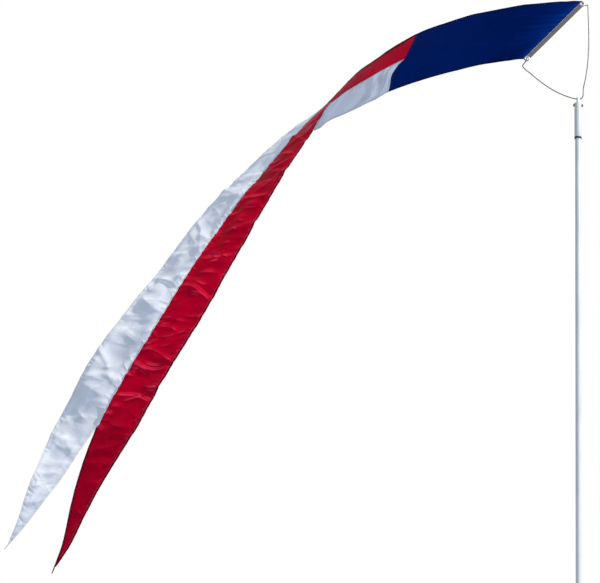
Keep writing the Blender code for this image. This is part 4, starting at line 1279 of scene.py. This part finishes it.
class WINDSTREAMER_OT_stage(bpy.types.Operator):
    """Makes the camera, the lights, the sky and the floor"""

    bl_idname = "windstreamer.stage"
    bl_label = "Stage"

    def execute(self, context):
        self.camera(context.scene)
        self.sky(context.scene)
        sun = bpy.data.lights.new("sun", "SUN")
        sun.energy = SUN_STRENGTH
        sun.angle = math.radians(1.5)
        sun.color = (1.0, 0.94, 0.85)
        lamp = bpy.data.objects.new("sun", sun)
        lamp.rotation_euler = Vector(SUN_TRAVEL).to_track_quat("-Z", "Y").to_euler()
        context.scene.collection.objects.link(lamp)
        mesh = bpy.data.meshes.new("floor")
        size = FLOOR_REACH
        mesh.from_pydata([(-size, -size, 0), (size, -size, 0), (size, size, 0), (-size, size, 0)], [],
                         [(0, 1, 2, 3)])
        floor = bpy.data.objects.new("floor", mesh)
        context.scene.collection.objects.link(floor)
        pale, _, _ = surface("pale_floor", Base_Color=(*linear("#D8DADC"), 1.0), Roughness=0.9)
        mesh.materials.append(pale)
        floor.visible_diffuse = False
        floor.visible_glossy = False
        context.scene.view_settings.view_transform = "Standard"
        return {"FINISHED"}

    def camera(self, scene):
        """An eye-level camera that looks up at the head, rolled a little to the right."""
        tilt = math.radians(CAMERA_TILT)
        roll = math.radians(CAMERA_ROLL)
        ahead = Vector((0, math.cos(tilt), math.sin(tilt)))
        level = Vector((1, 0, 0))
        upright = level.cross(ahead)
        right = level * math.cos(roll) + upright * math.sin(roll)
        up = upright * math.cos(roll) - level * math.sin(roll)
        lens = bpy.data.cameras.new("camera")
        lens.sensor_width = 36.0
        lens.lens = CAMERA_LENS
        lens.clip_end = 100.0
        camera = bpy.data.objects.new("camera", lens)
        turn = Matrix((right, up, -ahead)).transposed().to_4x4()
        camera.matrix_world = Matrix.Translation(CAMERA_PLACE) @ turn
        scene.collection.objects.link(camera)
        scene.camera = camera

    def sky(self, scene):
        """Even, pale blue light, a little stronger from above. The camera itself sees plain white."""
        world = bpy.data.worlds.new("sky")
        world.use_nodes = True
        tree = world.node_tree
        tree.nodes.clear()
        place = add_node(tree, "ShaderNodeTexCoord").outputs["Generated"]
        height = add_node(tree, "ShaderNodeSeparateXYZ", {"Vector": place}).outputs["Z"]
        share = mapped(tree, height, -0.35, 0.55)
        tone = blend_colours(tree, share, (0.50, 0.59, 0.74, 1.0), (0.60, 0.66, 0.77, 1.0))
        lit = add_node(tree, "ShaderNodeBackground", {"Color": tone, "Strength": 1.0})
        seen = add_node(tree, "ShaderNodeBackground", {"Color": (1, 1, 1, 1), "Strength": 1.0})
        ray = add_node(tree, "ShaderNodeLightPath").outputs["Is Camera Ray"]
        mix = add_node(tree, "ShaderNodeMixShader", {0: ray, 1: lit.outputs["Background"],
                                                     2: seen.outputs["Background"]})
        add_node(tree, "ShaderNodeOutputWorld", {"Surface": mix.outputs["Shader"]})
        scene.world = world


class WINDSTREAMER_PT_panel(bpy.types.Panel):
    """Lists the settings and the pieces in the sidebar"""

    bl_idname = "WINDSTREAMER_PT_panel"
    bl_label = "Wind Streamer"
    bl_space_type = "VIEW_3D"
    bl_region_type = "UI"
    bl_category = "Wind Streamer"

    def draw(self, context):
        for group in (context.scene.streamer_cloth, context.scene.streamer_hardware):
            box = self.layout.box()
            for key in group.__annotations__:
                box.prop(group, key)
        for operator in OPERATORS:
            self.layout.operator(operator.bl_idname)


OPERATORS = (WINDSTREAMER_OT_stage, WINDSTREAMER_OT_pole, WINDSTREAMER_OT_button, WINDSTREAMER_OT_head,
             WINDSTREAMER_OT_bow, WINDSTREAMER_OT_heading, WINDSTREAMER_OT_cloth)
CLASSES = (ClothSettings, HardwareSettings, *OPERATORS, WINDSTREAMER_PT_panel)


def register():
    for each in CLASSES:
        bpy.utils.register_class(each)
    bpy.types.Scene.streamer_cloth = PointerProperty(type=ClothSettings)
    bpy.types.Scene.streamer_hardware = PointerProperty(type=HardwareSettings)


def unregister():
    del bpy.types.Scene.streamer_hardware
    del bpy.types.Scene.streamer_cloth
    for each in reversed(CLASSES):
        bpy.utils.unregister_class(each)


def main():
    """Registers the classes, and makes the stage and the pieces."""
    register()
    for step in ("stage", "pole", "button", "head", "bow", "heading", "cloth"):
        getattr(bpy.ops.windstreamer, step)()


if __name__ == "__main__":
    main()
